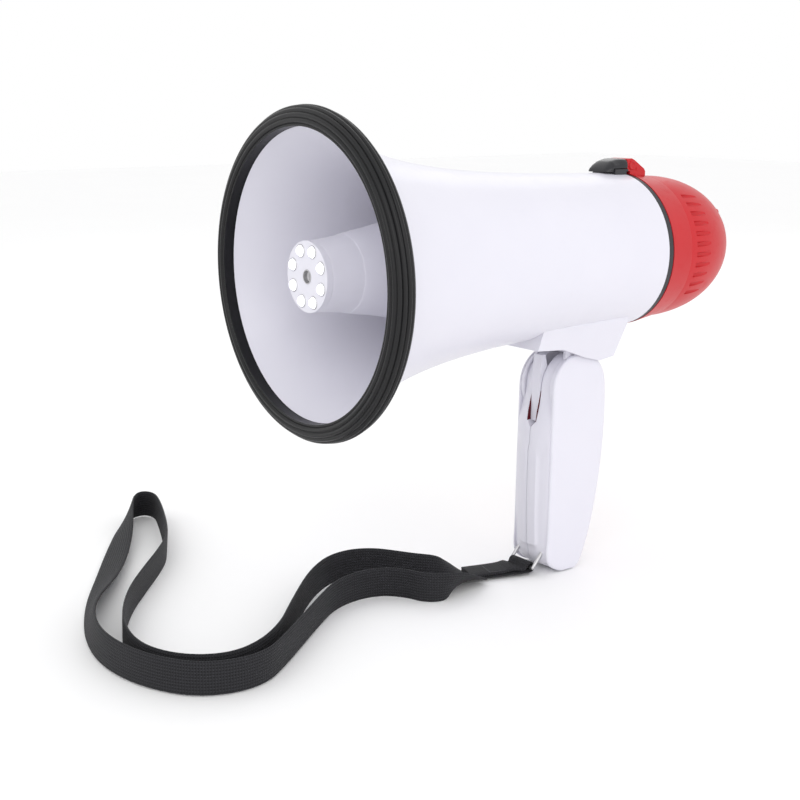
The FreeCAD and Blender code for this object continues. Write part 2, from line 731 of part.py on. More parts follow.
def side_block(name, side, near, far, y0, y1, z0, z1):
    """A box on one side of the middle plane."""
    if side > 0:
        return block(name, near, far, y0, y1, z0, z1)
    return block(name, -far, -near, y0, y1, z0, z1)


def build_bracket():
    """Gusset under the tube with the two cheeks that hold the hinge pin."""
    top = -p.tube_radius * 0.5
    round_top = hinge_z + p.handle_round
    side_form = padded("bracket_side", "YZ_Plane", [
        (p.bracket_front, top), (p.bracket_front, round_top + 5.6),
        (hinge_y - p.handle_round, round_top + 4.4), (hinge_y + 1.0, round_top - 2.3),
        (hinge_y + 10.6, round_top - 4.8), (hinge_y + 20.2, round_top - 3.3),
        (p.bracket_back, round_top + 14.0), (p.bracket_back, top)], p.bracket_top_width * 1.2)
    half_top = p.bracket_top_width / 2
    half_foot = p.bracket_foot_width / 2
    front_form = padded("bracket_front_view", "XZ_Plane", [
        (-half_top, top), (-half_top, -p.tube_radius * 0.86), (-half_foot, round_top - 6.0),
        (half_foot, round_top - 6.0), (half_top, -p.tube_radius * 0.86), (half_top, top)],
        p.horn_length * 3)
    mass = common("bracket_mass", [side_form, front_form])
    inside = p.handle_half + p.body_gap
    hollow = cross_rod("bracket_arch", arch, inside, hinge_y, hinge_z)
    channel = cross_rod("bracket_channel", trigger_reach + 0.6, p.trigger_width / 2 + 1.2,
                        hinge_y, hinge_z)
    shell = cut("bracket_shell", mass, [blank, hollow, channel])
    roof = hinge_z + arch + 2.0
    cheeks = []
    for name, side in SIDES:
        cheeks.append(side_block(f"cheek_web_{name}", side, cheek_inside, cheek_outside,
                                 hinge_y - p.cheek_web, hinge_y + p.cheek_web, hinge_z, roof))
        near = cheek_inside if side > 0 else -cheek_outside
        cheeks.append(rod(f"cheek_eye_{name}", "X", cheek_radius, p.cheek_thick,
                          near, hinge_y, hinge_z))
    whole = fused("bracket", [shell] + cheeks)
    holes = [cross_rod("bracket_pin_bore", p.hinge_pin_radius, p.handle_half, hinge_y, hinge_z)]
    for number, y in enumerate(bracket_screw_places, start=1):
        holes.append(rod(f"bracket_screw_bore_{number}", "Z", screw_shank, 12.0,
                         0, y, bracket_screw_tip))
    finish("bracket", cut("bracket", whole, holes))
    finish("hinge_pin", cross_rod("hinge_pin_rod", p.hinge_pin_radius, cheek_outside,
                                  hinge_y, hinge_z))

    screws = []
    for number, y in enumerate(bracket_screw_places, start=1):
        seat = -(horn_measure(y) - p.shell_wall - 0.2)
        shank = rod(f"bracket_screw_shank_{number}", "Z", screw_shank, seat - bracket_screw_tip,
                    0, y, bracket_screw_tip)
        head = rod(f"bracket_screw_head_{number}", "Z", screw_shank * 1.9, 2.0, 0, y, seat)
        screws.append(fused(f"bracket_screw_{number}", [shank, head]))
    finish("bracket_screws", group("bracket_screws", screws))


bracket_screw_tip = -(p.tube_radius + 2.6)


def handle_outline(front, rear):
    """Side view of the handle below the hinge, grown to the front and to the rear."""
    foot = -axis_height
    side = p.handle_round
    return [
        (hinge_y - side + 0.4, hinge_z), (hinge_y - side - 0.2 - front * 0.4, hinge_z - 10.0),
        (hinge_y - side - 0.4 - front, hinge_z - 21.0), (hinge_y - side - 1.1 - front, hinge_z - 52.0),
        (hinge_y - side - 1.0 - front * 0.7, foot + 20.0),
        (hinge_y - side - 3.2 - front * 0.3, foot + 9.0),
        (hinge_y - side + 1.0, foot + 3.6), (hinge_y - 9.0, foot), (hinge_y, foot),
        (hinge_y + 4.0, foot + 3.8), (hinge_y + 11.0 + rear, foot + 24.0),
        (hinge_y + 16.0 + rear, foot + 51.0), (hinge_y + 18.4 + rear, foot + 78.0),
        (hinge_y + side - 0.4, hinge_z)]


def build_handle():
    """Two core shells with the hinge eye, two smooth side covers and the screws between them."""
    front_crown = 3.6
    crown_radius = 24.0
    core = fused("core_form", [
        padded("core_body", "YZ_Plane", handle_outline(front_crown, 1.2), cover_inside * 2),
        cross_rod("core_round", p.handle_round, cover_inside, hinge_y, hinge_z)])
    face = hinge_y - p.handle_round - 1.1 - front_crown
    back = hinge_y + 18.4 + 1.2
    bows = [rod("front_bow", "Z", crown_radius, 140.0, 0, face + crown_radius, -axis_height - 5.0),
            rod("rear_bow", "Z", crown_radius, 140.0, 0, back - crown_radius, -axis_height - 5.0)]
    core = common("core_bowed", [core] + bows)

    wall = p.handle_wall
    shelf = hinge_z - 7.5
    hollow_top = hinge_z - arch - 9.7
    bail_y, bail_z = bail_pivot
    slot = p.trigger_width / 2 + 0.25
    tools = [
        cross_rod("core_hinge_bore", p.hinge_pin_radius + p.running_fit, p.handle_half,
                  hinge_y, hinge_z),
        block("core_trigger_slot", -slot, slot, hinge_y - 30.0, hinge_y - 8.0,
              trigger_pin_z - 5.0, hinge_z + 30.0),
        block("core_switch_pocket", -p.trigger_width / 2 - 0.05, p.trigger_width / 2 + 0.05,
              switch_face - 1.0, switch_face + switch_depth, hinge_z - 12.05, hinge_z - 2.95),
        cross_rod("core_trigger_pin_bore", p.trigger_pin_radius, 7.0, trigger_pin_y, trigger_pin_z),
        cross_rod("core_bail_bore", p.wire_radius + p.running_fit, p.bail_half + 1.4, bail_y, bail_z)]
    for name, side in SIDES:
        near = core_half if side > 0 else -(cover_inside + 1.0)
        tools.append(rod(f"core_cheek_room_{name}", "X", p.handle_round, cover_inside + 1.0 - core_half,
                         near, hinge_y, hinge_z))
        tools.append(side_block(f"core_web_room_{name}", side, core_half, cover_inside + 1.0,
                                hinge_y - 30.0, hinge_y + 30.0, shelf, hinge_z + 30.0))
        tools.append(side_block(f"core_bail_slot_{name}", side, p.bail_half - p.wire_radius - 0.4,
                                p.bail_half + p.wire_radius + 0.4, bail_y - 12.0, bail_y + 1.2,
                                bail_z - 10.0, bail_z + 3.4))
    hollow = block("core_hollow", -cover_inside + wall, cover_inside - wall, hinge_y - 17.0,
                   hinge_y + 8.0, -axis_height + 24.0, hollow_top)
    bosses = []
    for number, (y, z) in enumerate(handle_screw_places, start=1):
        bosses.append(cross_rod(f"core_boss_{number}", 3.4, cover_inside - 1.0, y, z))
        tools.append(rod(f"core_screw_bore_{number}", "X", screw_shank, cover_inside + 9.0,
                         -cover_inside, y, z))
        tools.append(rod(f"core_screw_seat_{number}", "X", 3.0, 2.2, -cover_inside, y, z))
    core = cut("core_hollowed", core, [hollow])
    core = cut("core", fused("core_bossed", [core] + bosses), tools)
    for name, side in SIDES:
        half = side_block(f"half_{name}", side, 0, 40.0, hinge_y - 60.0, hinge_y + 60.0,
                          -axis_height - 10.0, hinge_z + 50.0)
        finish(f"handle_shell_{name}", common(f"handle_shell_{name}", [core, half]))

    screws = []
    for number, (y, z) in enumerate(handle_screw_places, start=1):
        shank = rod(f"handle_screw_shank_{number}", "X", screw_shank, cover_inside + 6.0,
                    -cover_inside + 2.2, y, z)
        head = rod(f"handle_screw_head_{number}", "X", 2.9, 2.0, -cover_inside + 0.2, y, z)
        screws.append(fused(f"handle_screw_{number}", [shank, head]))
    finish("handle_screws", group("handle_screws", screws))

    for name, side in SIDES:
        body = document.addObject("PartDesign::Body", f"cover_{name}")
        sketch = outline_sketch(body, "YZ_Plane", handle_outline(0.0, 0.0),
                                cover_inside if side > 0 else -p.handle_half)
        pad = body.newObject("PartDesign::Pad", f"cover_{name}_pad")
        pad.Profile = sketch
        bind(pad, "Length", p.cover_thick)
        near = cover_inside if side > 0 else -p.handle_half
        disc = rod(f"cover_disc_{name}", "X", p.handle_round, p.cover_thick, near, hinge_y, hinge_z)
        plate = fused(f"cover_{name}", [body, disc])
        document.recompute()
        outer = p.handle_half.value * side
        edges = [number for number, edge in enumerate(plate.Shape.Edges, start=1)
                 if abs(edge.BoundBox.XMin - outer) < 0.01 and abs(edge.BoundBox.XMax - outer) < 0.01]
        soft = document.addObject("Part::Fillet", f"cover_{name}_soft")
        soft.Base = plate
        edge_radius = p.cover_thick.value * 0.6
        soft.Edges = [(number, edge_radius, edge_radius) for number in edges]
        finish(f"side_cover_{name}", soft)


handle_screw_places = ((hinge_y + 1.0, hinge_z - 40.0), (hinge_y - 4.0, -axis_height + 20.0))
trigger_pin_y = hinge_y - p.handle_round + 5.6
trigger_pin_z = hinge_z - 16.5
switch_face = trigger_pin_y + 3.7
switch_depth = Measure.of(4.0)
bail_pivot = (hinge_y - 18.0, -axis_height + 13.0)


def build_trigger():
    """Talk trigger on its pin, with the return spring and the micro switch behind it."""
    half = p.trigger_width / 2
    top_y = hinge_y - p.handle_round + 0.8
    top_z = hinge_z + p.handle_round - 0.8
    blade = padded("trigger_blade", "YZ_Plane", [
        (top_y, top_z), (hinge_y - p.handle_round - 0.3, hinge_z - 2.0),
        (hinge_y - p.handle_round - 0.5, hinge_z - 17.0), (trigger_pin_y, trigger_pin_z - 2.8),
        (trigger_pin_y + 2.8, trigger_pin_z), (trigger_pin_y + 1.0, hinge_z + 4.0),
        (top_y + 2.4, top_z)], half * 2)
    bore = cross_rod("trigger_bore", p.trigger_pin_radius + p.running_fit, half * 2,
                     trigger_pin_y, trigger_pin_z)
    finish("trigger", cut("trigger", blade, [bore]))
    finish("trigger_pin", cross_rod("trigger_pin_rod", p.trigger_pin_radius, 6.9,
                                    trigger_pin_y, trigger_pin_z))
    slot_back = hinge_y - 8.0
    spring_z = hinge_z + 6.0
    spring_start = trigger_pin_y + 1.4
    finish("trigger_spring", rod("trigger_spring_coil", "Y", 1.8, slot_back - spring_start,
                                 0, spring_start, spring_z))
    finish("micro_switch", block("micro_switch_body", -half, half, switch_face,
                                 switch_face + switch_depth, hinge_z - 12.0, hinge_z - 3.0))


def build_bail():
    """Wire bail at the foot of the handle: a closed loop of wire with mitred corners."""
    y, z = bail_pivot
    lean_y = 8.0
    lean_z = 9.0
    reach = math.hypot(lean_y, lean_z)
    half = p.bail_half
    pieces = [cross_rod("bail_axle", p.wire_radius, half, y, z),
              cross_rod("bail_bar", p.wire_radius, half, y - lean_y, z - lean_z)]
    for name, side in SIDES:
        leg = rod(f"bail_leg_{name}", "Z", p.wire_radius, Measure.of(reach), half * side, y, z)
        leg.Placement.Rotation = FreeCAD.Rotation(AXES["Z"], FreeCAD.Vector(0, -lean_y, -lean_z))
        pieces.append(leg)
        pieces.append(ball(f"bail_top_corner_{name}", p.wire_radius, half * side, y, z))
        pieces.append(ball(f"bail_low_corner_{name}", p.wire_radius, half * side,
                           y - lean_y, z - lean_z))
    finish("strap_bail", fused("strap_bail", pieces))

    bar_y = y - lean_y
    bar_z = z - lean_z
    loop = rod("tab_loop", "X", p.wire_radius + 2.0, p.strap_width * 0.94,
               -p.strap_width * 0.47, bar_y, bar_z)
    room = cross_rod("tab_room", p.wire_radius + p.body_gap, p.strap_width, bar_y, bar_z)
    tail_end = 27.4
    tail = block("tab_tail", -p.strap_width / 2, p.strap_width / 2, -tail_end, -1.4,
                 0, p.strap_thick * 2)
    tail.Placement.Rotation = FreeCAD.Rotation(AXES["Z"], tab_turn)
    place(tail, (-math.cos(math.radians(tab_turn)) * p.strap_width / 2
                 + math.sin(math.radians(tab_turn)) * tail_end),
          bar_y - math.sin(math.radians(tab_turn)) * p.strap_width / 2
          - math.cos(math.radians(tab_turn)) * tail_end, strap_floor)
    finish("strap_tab", cut("strap_tab", fused("strap_tab", [loop, tail]), [room]))


tab_turn = -17.0
strap_floor = -axis_height + 1.0


# Route of the strap's middle line on the ground, from the stitched tab round the far end of the
# loop and back; the numbers are chosen by hand (across the object, along the horn).
STRAP_ROUTE = (
    (-3.2, 101.5), (1.5, 91.5), (8.0, 81.0), (11.5, 71.0), (6.0, 62.5), (-5.5, 59.0), (-14.5, 51.0),
    (-17.0, 37.5), (-12.5, 21.0), (0.0, 4.0), (15.0, -15.0), (29.5, -33.5), (39.5, -48.0),
    (41.0, -63.0), (34.0, -79.0), (18.5, -89.5), (-1.5, -95.5), (-24.0, -96.0), (-47.0, -90.0),
    (-69.0, -79.0), (-91.5, -65.0), (-114.0, -49.5), (-137.5, -34.5), (-160.0, -20.5),
    (-180.0, -8.5), (-196.0, 1.5), (-206.0, 10.5), (-207.5, 18.0), (-199.0, 20.5), (-184.0, 15.5),
    (-164.0, 7.5), (-143.0, -1.5), (-124.0, -11.0), (-106.0, -25.5), (-86.5, -43.0),
    (-66.0, -60.5), (-43.5, -75.0), (-21.5, -85.0), (0.5, -88.5), (17.5, -83.5), (29.0, -73.0),
    (33.5, -59.5), (28.5, -43.5), (16.0, -26.5), (1.0, -12.5), (-13.5, 1.5), (-26.0, 14.0),
    (-36.5, 26.5), (-44.5, 39.5), (-46.5, 53.0), (-41.0, 64.5), (-30.5, 71.0), (-19.5, 76.5),
    (-13.0, 86.0), (-11.0, 95.5), (-10.8, 101.5))
ARC_SHARE = 0.45


def strap_bends():
    """Each inner point of the route with where its arc starts and ends, and its radius."""
    bends = []
    for before, corner, after in zip(STRAP_ROUTE, STRAP_ROUTE[1:], STRAP_ROUTE[2:]):
        into = FreeCAD.Vector(corner[0] - before[0], corner[1] - before[1], 0)
        out = FreeCAD.Vector(after[0] - corner[0], after[1] - corner[1], 0)
        tangent = ARC_SHARE * min(into.Length, out.Length)
        half_turn = into.getAngle(out) / 2
        here = FreeCAD.Vector(corner[0], corner[1], 0)
        into.normalize()
        out.normalize()
        bends.append((here - into * tangent, here + out * tangent, into, out,
                      tangent / math.tan(half_turn)))
    return bends


def strap_side(bends, shift):
    """Edges of one face of the strap: straight runs and tangent arcs, moved sideways."""
    def across(direction):
        return FreeCAD.Vector(-direction.y, direction.x, 0) * shift

    first = FreeCAD.Vector(STRAP_ROUTE[0][0], STRAP_ROUTE[0][1], 0)
    last = FreeCAD.Vector(STRAP_ROUTE[-1][0], STRAP_ROUTE[-1][1], 0)
    edges = []
    here = first + across(bends[0][2])
    for start, end, into, out, radius in bends:
        arc_start = start + across(into)
        arc_end = end + across(out)
        left_turn = into.cross(out).z > 0
        inward = FreeCAD.Vector(-into.y, into.x, 0) * (1 if left_turn else -1)
        centre = start + inward * radius
        bisector = (arc_start + arc_end) * 0.5 - centre
        bisector.normalize()
        middle = centre + bisector * (arc_start - centre).Length
        edges.append(Part.LineSegment(here, arc_start).toShape())
        edges.append(Part.Arc(arc_start, middle, arc_end).toShape())
        here = arc_end
    edges.append(Part.LineSegment(here, last + across(bends[-1][3])).toShape())
    return edges


def build_strap():
    """Carrying strap: flat webbing that stands on its edge on the ground in one long loop."""
    bends = strap_bends()
    half = p.strap_thick.value / 2
    left = strap_side(bends, half)
    right = strap_side(bends, -half)
    ends = [Part.LineSegment(left[0].Vertexes[0].Point, right[0].Vertexes[0].Point).toShape(),
            Part.LineSegment(left[-1].Vertexes[-1].Point, right[-1].Vertexes[-1].Point).toShape()]
    outline = Part.Wire(Part.__sortEdges__(left + right + ends))
    ribbon = Part.Face(outline).extrude(FreeCAD.Vector(0, 0, p.strap_width.value))
    middle = strap_side(bends, 0.0)
    length = sum(edge.Length for edge in middle)
    print("strap bend radii:", " ".join(f"{bend[4]:.0f}" for bend in bends))
    print(f"strap length {length:.1f}, volume {ribbon.Volume:.0f},",
          f"section x length {length * p.strap_width.value * p.strap_thick.value:.0f}")
    finish("strap_webbing", place(solid("strap_webbing", ribbon), 0, 0, -axis_height))


def check_document():
    """Stop before writing when any object failed or any sub-part is not a sound solid."""
    document.recompute()
    for item in document.Objects:
        if "Invalid" in item.State or "Error" in item.State:
            raise RuntimeError(f"{item.Name}: {item.State}")
    for item in nodes:
        if item.Shape.isNull() or not item.Shape.isValid() or not item.Shape.Solids:
            raise RuntimeError(f"{item.Label} is not a sound solid")


def write_parts():
    """One STEP file for each named sub-part."""
    os.makedirs("parts", exist_ok=True)
    for item in nodes:
        item.Shape.exportStep(f"parts/{item.Label}.step")
        print(item.Label, len(item.Shape.Solids), round(item.Shape.Volume))


build_horn()
build_reflex_cup()
build_throat()
build_driver()
build_battery_pack()
build_bayonet()
build_cap()
build_latch()
build_bracket()
build_handle()
build_trigger()
build_bail()
build_strap()
check_document()
write_parts()
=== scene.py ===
"""Looks for a handheld megaphone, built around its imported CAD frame."""

import json
import logging
import math
from dataclasses import dataclass
from enum import Enum
from typing import Sequence

import bmesh
import bpy
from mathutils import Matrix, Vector

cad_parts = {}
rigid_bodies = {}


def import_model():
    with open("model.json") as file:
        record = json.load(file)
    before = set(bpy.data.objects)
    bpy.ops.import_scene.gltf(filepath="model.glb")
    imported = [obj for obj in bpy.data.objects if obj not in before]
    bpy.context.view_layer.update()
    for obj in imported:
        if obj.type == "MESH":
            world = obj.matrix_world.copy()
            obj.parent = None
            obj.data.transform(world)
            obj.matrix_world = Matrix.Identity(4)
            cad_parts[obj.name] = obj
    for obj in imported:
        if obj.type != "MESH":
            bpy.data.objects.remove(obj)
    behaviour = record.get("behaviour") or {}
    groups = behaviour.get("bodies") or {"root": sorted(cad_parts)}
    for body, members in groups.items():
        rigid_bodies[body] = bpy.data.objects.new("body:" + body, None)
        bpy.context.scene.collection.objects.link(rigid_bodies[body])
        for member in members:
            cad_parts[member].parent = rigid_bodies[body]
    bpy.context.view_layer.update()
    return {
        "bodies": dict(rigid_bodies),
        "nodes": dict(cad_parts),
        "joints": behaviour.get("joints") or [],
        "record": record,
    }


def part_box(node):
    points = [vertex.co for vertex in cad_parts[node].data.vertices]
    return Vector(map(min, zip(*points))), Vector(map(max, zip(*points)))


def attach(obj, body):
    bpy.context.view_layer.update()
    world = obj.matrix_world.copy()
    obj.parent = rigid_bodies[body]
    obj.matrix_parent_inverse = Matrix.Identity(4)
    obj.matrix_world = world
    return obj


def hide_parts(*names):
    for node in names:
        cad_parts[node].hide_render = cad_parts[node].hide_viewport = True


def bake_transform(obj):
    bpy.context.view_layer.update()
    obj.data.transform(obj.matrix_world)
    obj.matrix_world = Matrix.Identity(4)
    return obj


MM = 0.001
REPORT = logging.getLogger("megaphone")


class Slot(str, Enum):
    """Material slots of the record that the pieces take their finish from."""

    WHITE = "white_shell"
    RED = "red_shell"
    RUBBER = "black_rubber"
    BLACK = "black_plastic"
    DARK = "dark_plastic"
    STEEL = "steel"
    LAMP = "lamp_lens"
    BOARD = "board"
    CLOTH = "paper_cone"
    MAGNET = "magnet"
    CELL = "cell_can"
    CONTACT = "contact"
    FOAM = "foam"
    WEBBING = "webbing"


class Body(str, Enum):
    """CAD bodies that pieces ride on."""

    HORN = "horn"
    CAP = "cap"
    HANDLE = "handle"
    TRIGGER = "trigger"
    LATCH = "latch"
    BAIL = "bail"
    VOLUME = "volume"


@dataclass(frozen=True)
class HornFrame:
    """Places along the horn in millimetres: y behind the horn's front edge, z from its axis."""

    front_y: float
    axis_z: float

    def at(self, x: float, y: float, z: float) -> Vector:
        """Turn horn millimetres into the part's metres.

        Args:
            x: across the object.
            y: behind the horn's front edge.
            z: above the horn's axis.

        Returns:
            The point in the part's frame.
        """
        return Vector((x * MM, y * MM + self.front_y, z * MM + self.axis_z))


class Socket:
    """A shader socket that takes part in Python arithmetic."""

    def __init__(self, shader: "Shader", socket: bpy.types.NodeSocket) -> None:
        """Hold a socket and the shader it belongs to."""
        self.shader = shader
        self.socket = socket

    def _math(self, operation: str, first: object, second: object) -> "Socket":
        """Add one Math node."""
        return self.shader.node("ShaderNodeMath", 0, operation=operation, inputs=(first, second))

    def __add__(self, other: object) -> "Socket":
        """Sum."""
        return self._math("ADD", self, other)

    def __radd__(self, other: object) -> "Socket":
        """Sum with the socket on the right."""
        return self._math("ADD", other, self)

    def __sub__(self, other: object) -> "Socket":
        """Difference."""
        return self._math("SUBTRACT", self, other)

    def __rsub__(self, other: object) -> "Socket":
        """Difference with the socket on the right."""
        return self._math("SUBTRACT", other, self)

    def __mul__(self, other: object) -> "Socket":
        """Product."""
        return self._math("MULTIPLY", self, other)

    def __rmul__(self, other: object) -> "Socket":
        """Product with the socket on the right."""
        return self._math("MULTIPLY", other, self)

    def __truediv__(self, other: object) -> "Socket":
        """Quotient."""
        return self._math("DIVIDE", self, other)

    def __rtruediv__(self, other: object) -> "Socket":
        """Quotient with the socket below."""
        return self._math("DIVIDE", other, self)

    def __pow__(self, other: object) -> "Socket":
        """Power."""
        return self._math("POWER", self, other)

    def sine(self) -> "Socket":
        """Sine of the value."""
        return self.shader.node("ShaderNodeMath", 0, operation="SINE", inputs=(self,))

    def above(self, edge: object) -> "Socket":
        """One where the value is greater than the edge, else zero."""
        return self._math("GREATER_THAN", self, edge)

    def clamped(self) -> "Socket":
        """The value kept between nought and one."""
        return self.shader.node("ShaderNodeClamp", 0, inputs=(self,))


class Shader:
    """One material's node tree, written as expressions."""

    def __init__(self, name: str) -> None:
        """Start a material with its surface shader.

        Args:
            name: the material's name.
        """
        self.material = bpy.data.materials.new(name)
        self.material.use_nodes = True
        self.tree = self.material.node_tree
        self.surface = self.tree.nodes["Principled BSDF"]

    def node(self, kind: str, output: object = 0, inputs: Sequence[object] = (),
             **settings: object) -> Socket:
        """Add any node, set it up and give one of its outputs.

        Args:
            kind: the node's type name.
            output: which output to return.
            inputs: values or sockets for its inputs, in order; None leaves one alone.
            settings: properties of the node.

        Returns:
            The chosen output as a Socket.
        """
        made = self.tree.nodes.new(kind)
        for name, value in settings.items():
            setattr(made, name, value)
        for target, value in zip(made.inputs, inputs):
            self.feed(target, value)
        return Socket(self, made.outputs[output])

    def feed(self, target: bpy.types.NodeSocket, value: object) -> None:
        """Link or set one input socket.

        Args:
            target: the input socket.
            value: a Socket to link, a constant to set, or None to leave it.
        """
        if value is None:
            return
        if isinstance(value, Socket):
            self.tree.links.new(value.socket, target)
        else:
            target.default_value = value

    def put(self, name: str, value: object) -> None:
        """Feed an input of the surface shader by name."""
        self.feed(self.surface.inputs[name], value)

    def place(self, scale: float = 1.0) -> Socket:
        """Object coordinates scaled by a factor."""
        spot = self.node("ShaderNodeTexCoord", "Object")
        return self.node("ShaderNodeVectorMath", 0, operation="SCALE",
                         inputs=(spot, None, None, scale))

    def noise(self, scale: float, detail: float = 3.0, rough: float = 0.5) -> Socket:
        """Value noise over the object, scale in features per metre.

        Args:
            scale: features per metre.
            detail: octaves.
            rough: strength of the fine octaves.

        Returns:
            The noise between nought and one.
        """
        made = self.tree.nodes.new("ShaderNodeTexNoise")
        self.feed(made.inputs["Vector"], self.place())
        made.inputs["Scale"].default_value = scale
        made.inputs["Detail"].default_value = detail
        made.inputs["Roughness"].default_value = rough
        return Socket(self, made.outputs["Fac"])

    def mix(self, factor: object, first: Sequence[float], second: Sequence[float]) -> Socket:
        """Blend two colours.

        Args:
            factor: share of the second colour.
            first: colour or Socket.
            second: colour or Socket.

        Returns:
            The blended colour.
        """
        made = self.tree.nodes.new("ShaderNodeMix")
        made.data_type = "RGBA"
        self.feed(made.inputs[0], factor)
        for target, colour in ((made.inputs[6], first), (made.inputs[7], second)):
            self.feed(target, colour if isinstance(colour, Socket) else (*colour, 1.0))
        return Socket(self, made.outputs[2])

    def bump(self, height: Socket, distance: float, strength: float = 1.0) -> None:
        """Raise the surface by a height map; distance is in metres.

        Args:
            height: the height map.
            distance: its full height in metres.
            strength: how much of it shows.
        """
        made = self.tree.nodes.new("ShaderNodeBump")
        made.inputs["Strength"].default_value = strength
        made.inputs["Distance"].default_value = distance
        self.feed(made.inputs["Height"], height)
        self.put("Normal", Socket(self, made.outputs["Normal"]))


@dataclass(frozen=True)
class MouldedPlastic:
    """Injection moulded plastic: fine texture, slight flow shading and rubbed patches."""

    name: str
    colour: tuple[float, float, float]
    shade: tuple[float, float, float]
    roughness: float
    grain: float = 0.00003
    coat: float = 0.0
    specular: float = 0.5

    def build(self) -> bpy.types.Material:
        """Make the plastic.

        Returns:
            The material.
        """
        shader = Shader(self.name)
        cloud = shader.noise(38.0, 4.0)
        speck = shader.noise(2600.0, 2.0)
        scuff = (shader.noise(160.0, 6.0, 0.65) - 0.52) * 6.0
        shader.put("Base Color", shader.mix(cloud, self.colour, self.shade))
        shader.put("Roughness", self.roughness + scuff.clamped() * 0.10 + speck * 0.05)
        shader.put("IOR", 1.49)
        shader.put("Specular IOR Level", self.specular)
        shader.put("Coat Weight", self.coat)
        shader.put("Coat Roughness", 0.06)
        shader.bump(speck + cloud * 0.6, self.grain, 0.6)
        return shader.material


@dataclass(frozen=True)
class Rubber:
    """Soft black rubber or foam with dusty patches."""

    name: str
    colour: tuple[float, float, float]
    dust: tuple[float, float, float]
    roughness: float = 0.55
    pores: float = 1500.0

    def build(self) -> bpy.types.Material:
        """Make the rubber.

        Returns:
            The material.
        """
        shader = Shader(self.name)
        cloud = shader.noise(70.0, 5.0)
        pores = shader.noise(self.pores, 3.0)
        shader.put("Base Color", shader.mix(cloud * pores * 1.6, self.colour, self.dust))
        shader.put("Roughness", self.roughness + cloud * 0.14)
        shader.put("Specular IOR Level", 0.3)
        shader.bump(pores, 0.00006, 0.7)
        return shader.material


@dataclass(frozen=True)
class Metal:
    """Drawn or turned metal with fine streaks and stains."""

    name: str
    colour: tuple[float, float, float]
    stain: tuple[float, float, float]
    roughness: float = 0.3

    def build(self) -> bpy.types.Material:
        """Make the metal.

        Returns:
            The material.
        """
        shader = Shader(self.name)
        streak = shader.noise(900.0, 5.0, 0.7)
        stain = shader.noise(90.0, 4.0)
        shader.put("Base Color", shader.mix(stain, self.colour, self.stain))
        shader.put("Metallic", 1.0)
        shader.put("Roughness", self.roughness + streak * 0.16)
        shader.bump(streak, 0.00002, 0.5)
        return shader.material


@dataclass(frozen=True)
class LampLens:
    """A lit white lamp with a slightly hazy dome."""

    name: str = "lit_lamp"

    def build(self) -> bpy.types.Material:
        """Make the lit lens.

        Returns:
            The material.
        """
        shader = Shader(self.name)
        haze = shader.noise(1400.0, 2.0)
        shader.put("Base Color", shader.mix(haze, (0.92, 0.95, 1.0), (0.85, 0.9, 1.0)))
        shader.put("Roughness", 0.06 + haze * 0.05)
        shader.put("Emission Color", shader.mix(haze, (1.0, 1.0, 1.0), (0.88, 0.92, 1.0)))
        shader.put("Emission Strength", 1.5)
        shader.put("Coat Weight", 0.6)
        return shader.material


@dataclass(frozen=True)
class WovenWebbing:
    """Flat nylon webbing: ribs across it and a selvedge on each side."""

    name: str
    pitch: float = 0.00125
    ends: int = 11

    def build(self) -> bpy.types.Material:
        """Make the webbing.

        Returns:
            The material.
        """
        shader = Shader(self.name)
        spot = shader.node("ShaderNodeUVMap", "UV", uv_map="along")
        parts = shader.tree.nodes.new("ShaderNodeSeparateXYZ")
        shader.feed(parts.inputs[0], spot)
        along = Socket(shader, parts.outputs["X"])
        across = Socket(shader, parts.outputs["Y"])
        turn = 2.0 * math.pi
        warp = (across * (turn * self.ends)).sine()
        pick = (along * (turn / self.pitch) + (across * (turn * self.ends)).sine() * 1.4).sine()
        weave = warp * 0.5 + pick * 0.5 + 1.0
        fuzz = shader.noise(4200.0, 3.0)
        fade = shader.noise(60.0, 4.0)
        edge = ((across - 0.5) * (across - 0.5) * 4.0) ** 6.0
        cloth = shader.mix(weave * 0.42 * fuzz + edge * 0.1, (0.006, 0.006, 0.007),
                           (0.075, 0.075, 0.085))
        shader.put("Base Color", shader.mix(fade * 0.15, cloth, (0.03, 0.03, 0.034)))
        shader.put("Roughness", 0.62 + fuzz * 0.2)
        shader.put("Specular IOR Level", 0.2)
        shader.put("Sheen Weight", 0.03)
        shader.put("Sheen Roughness", 0.5)
        shader.bump(weave * 0.8 + fuzz * 0.5 + edge, 0.00022, 0.9)
        return shader.material


@dataclass(frozen=True)
class Floor:
    """Pale seamless floor with the faintest mottling."""

    name: str = "pale_floor"

    def build(self) -> bpy.types.Material:
        """Make the floor.

        Returns:
            The material.
        """
        shader = Shader(self.name)
        tone = shader.noise(6.0, 3.0)
        shader.put("Base Color", shader.mix(tone, (0.965, 0.965, 0.97), (0.985, 0.985, 0.985)))
        shader.put("Roughness", 0.7 + tone * 0.1)
        return shader.material


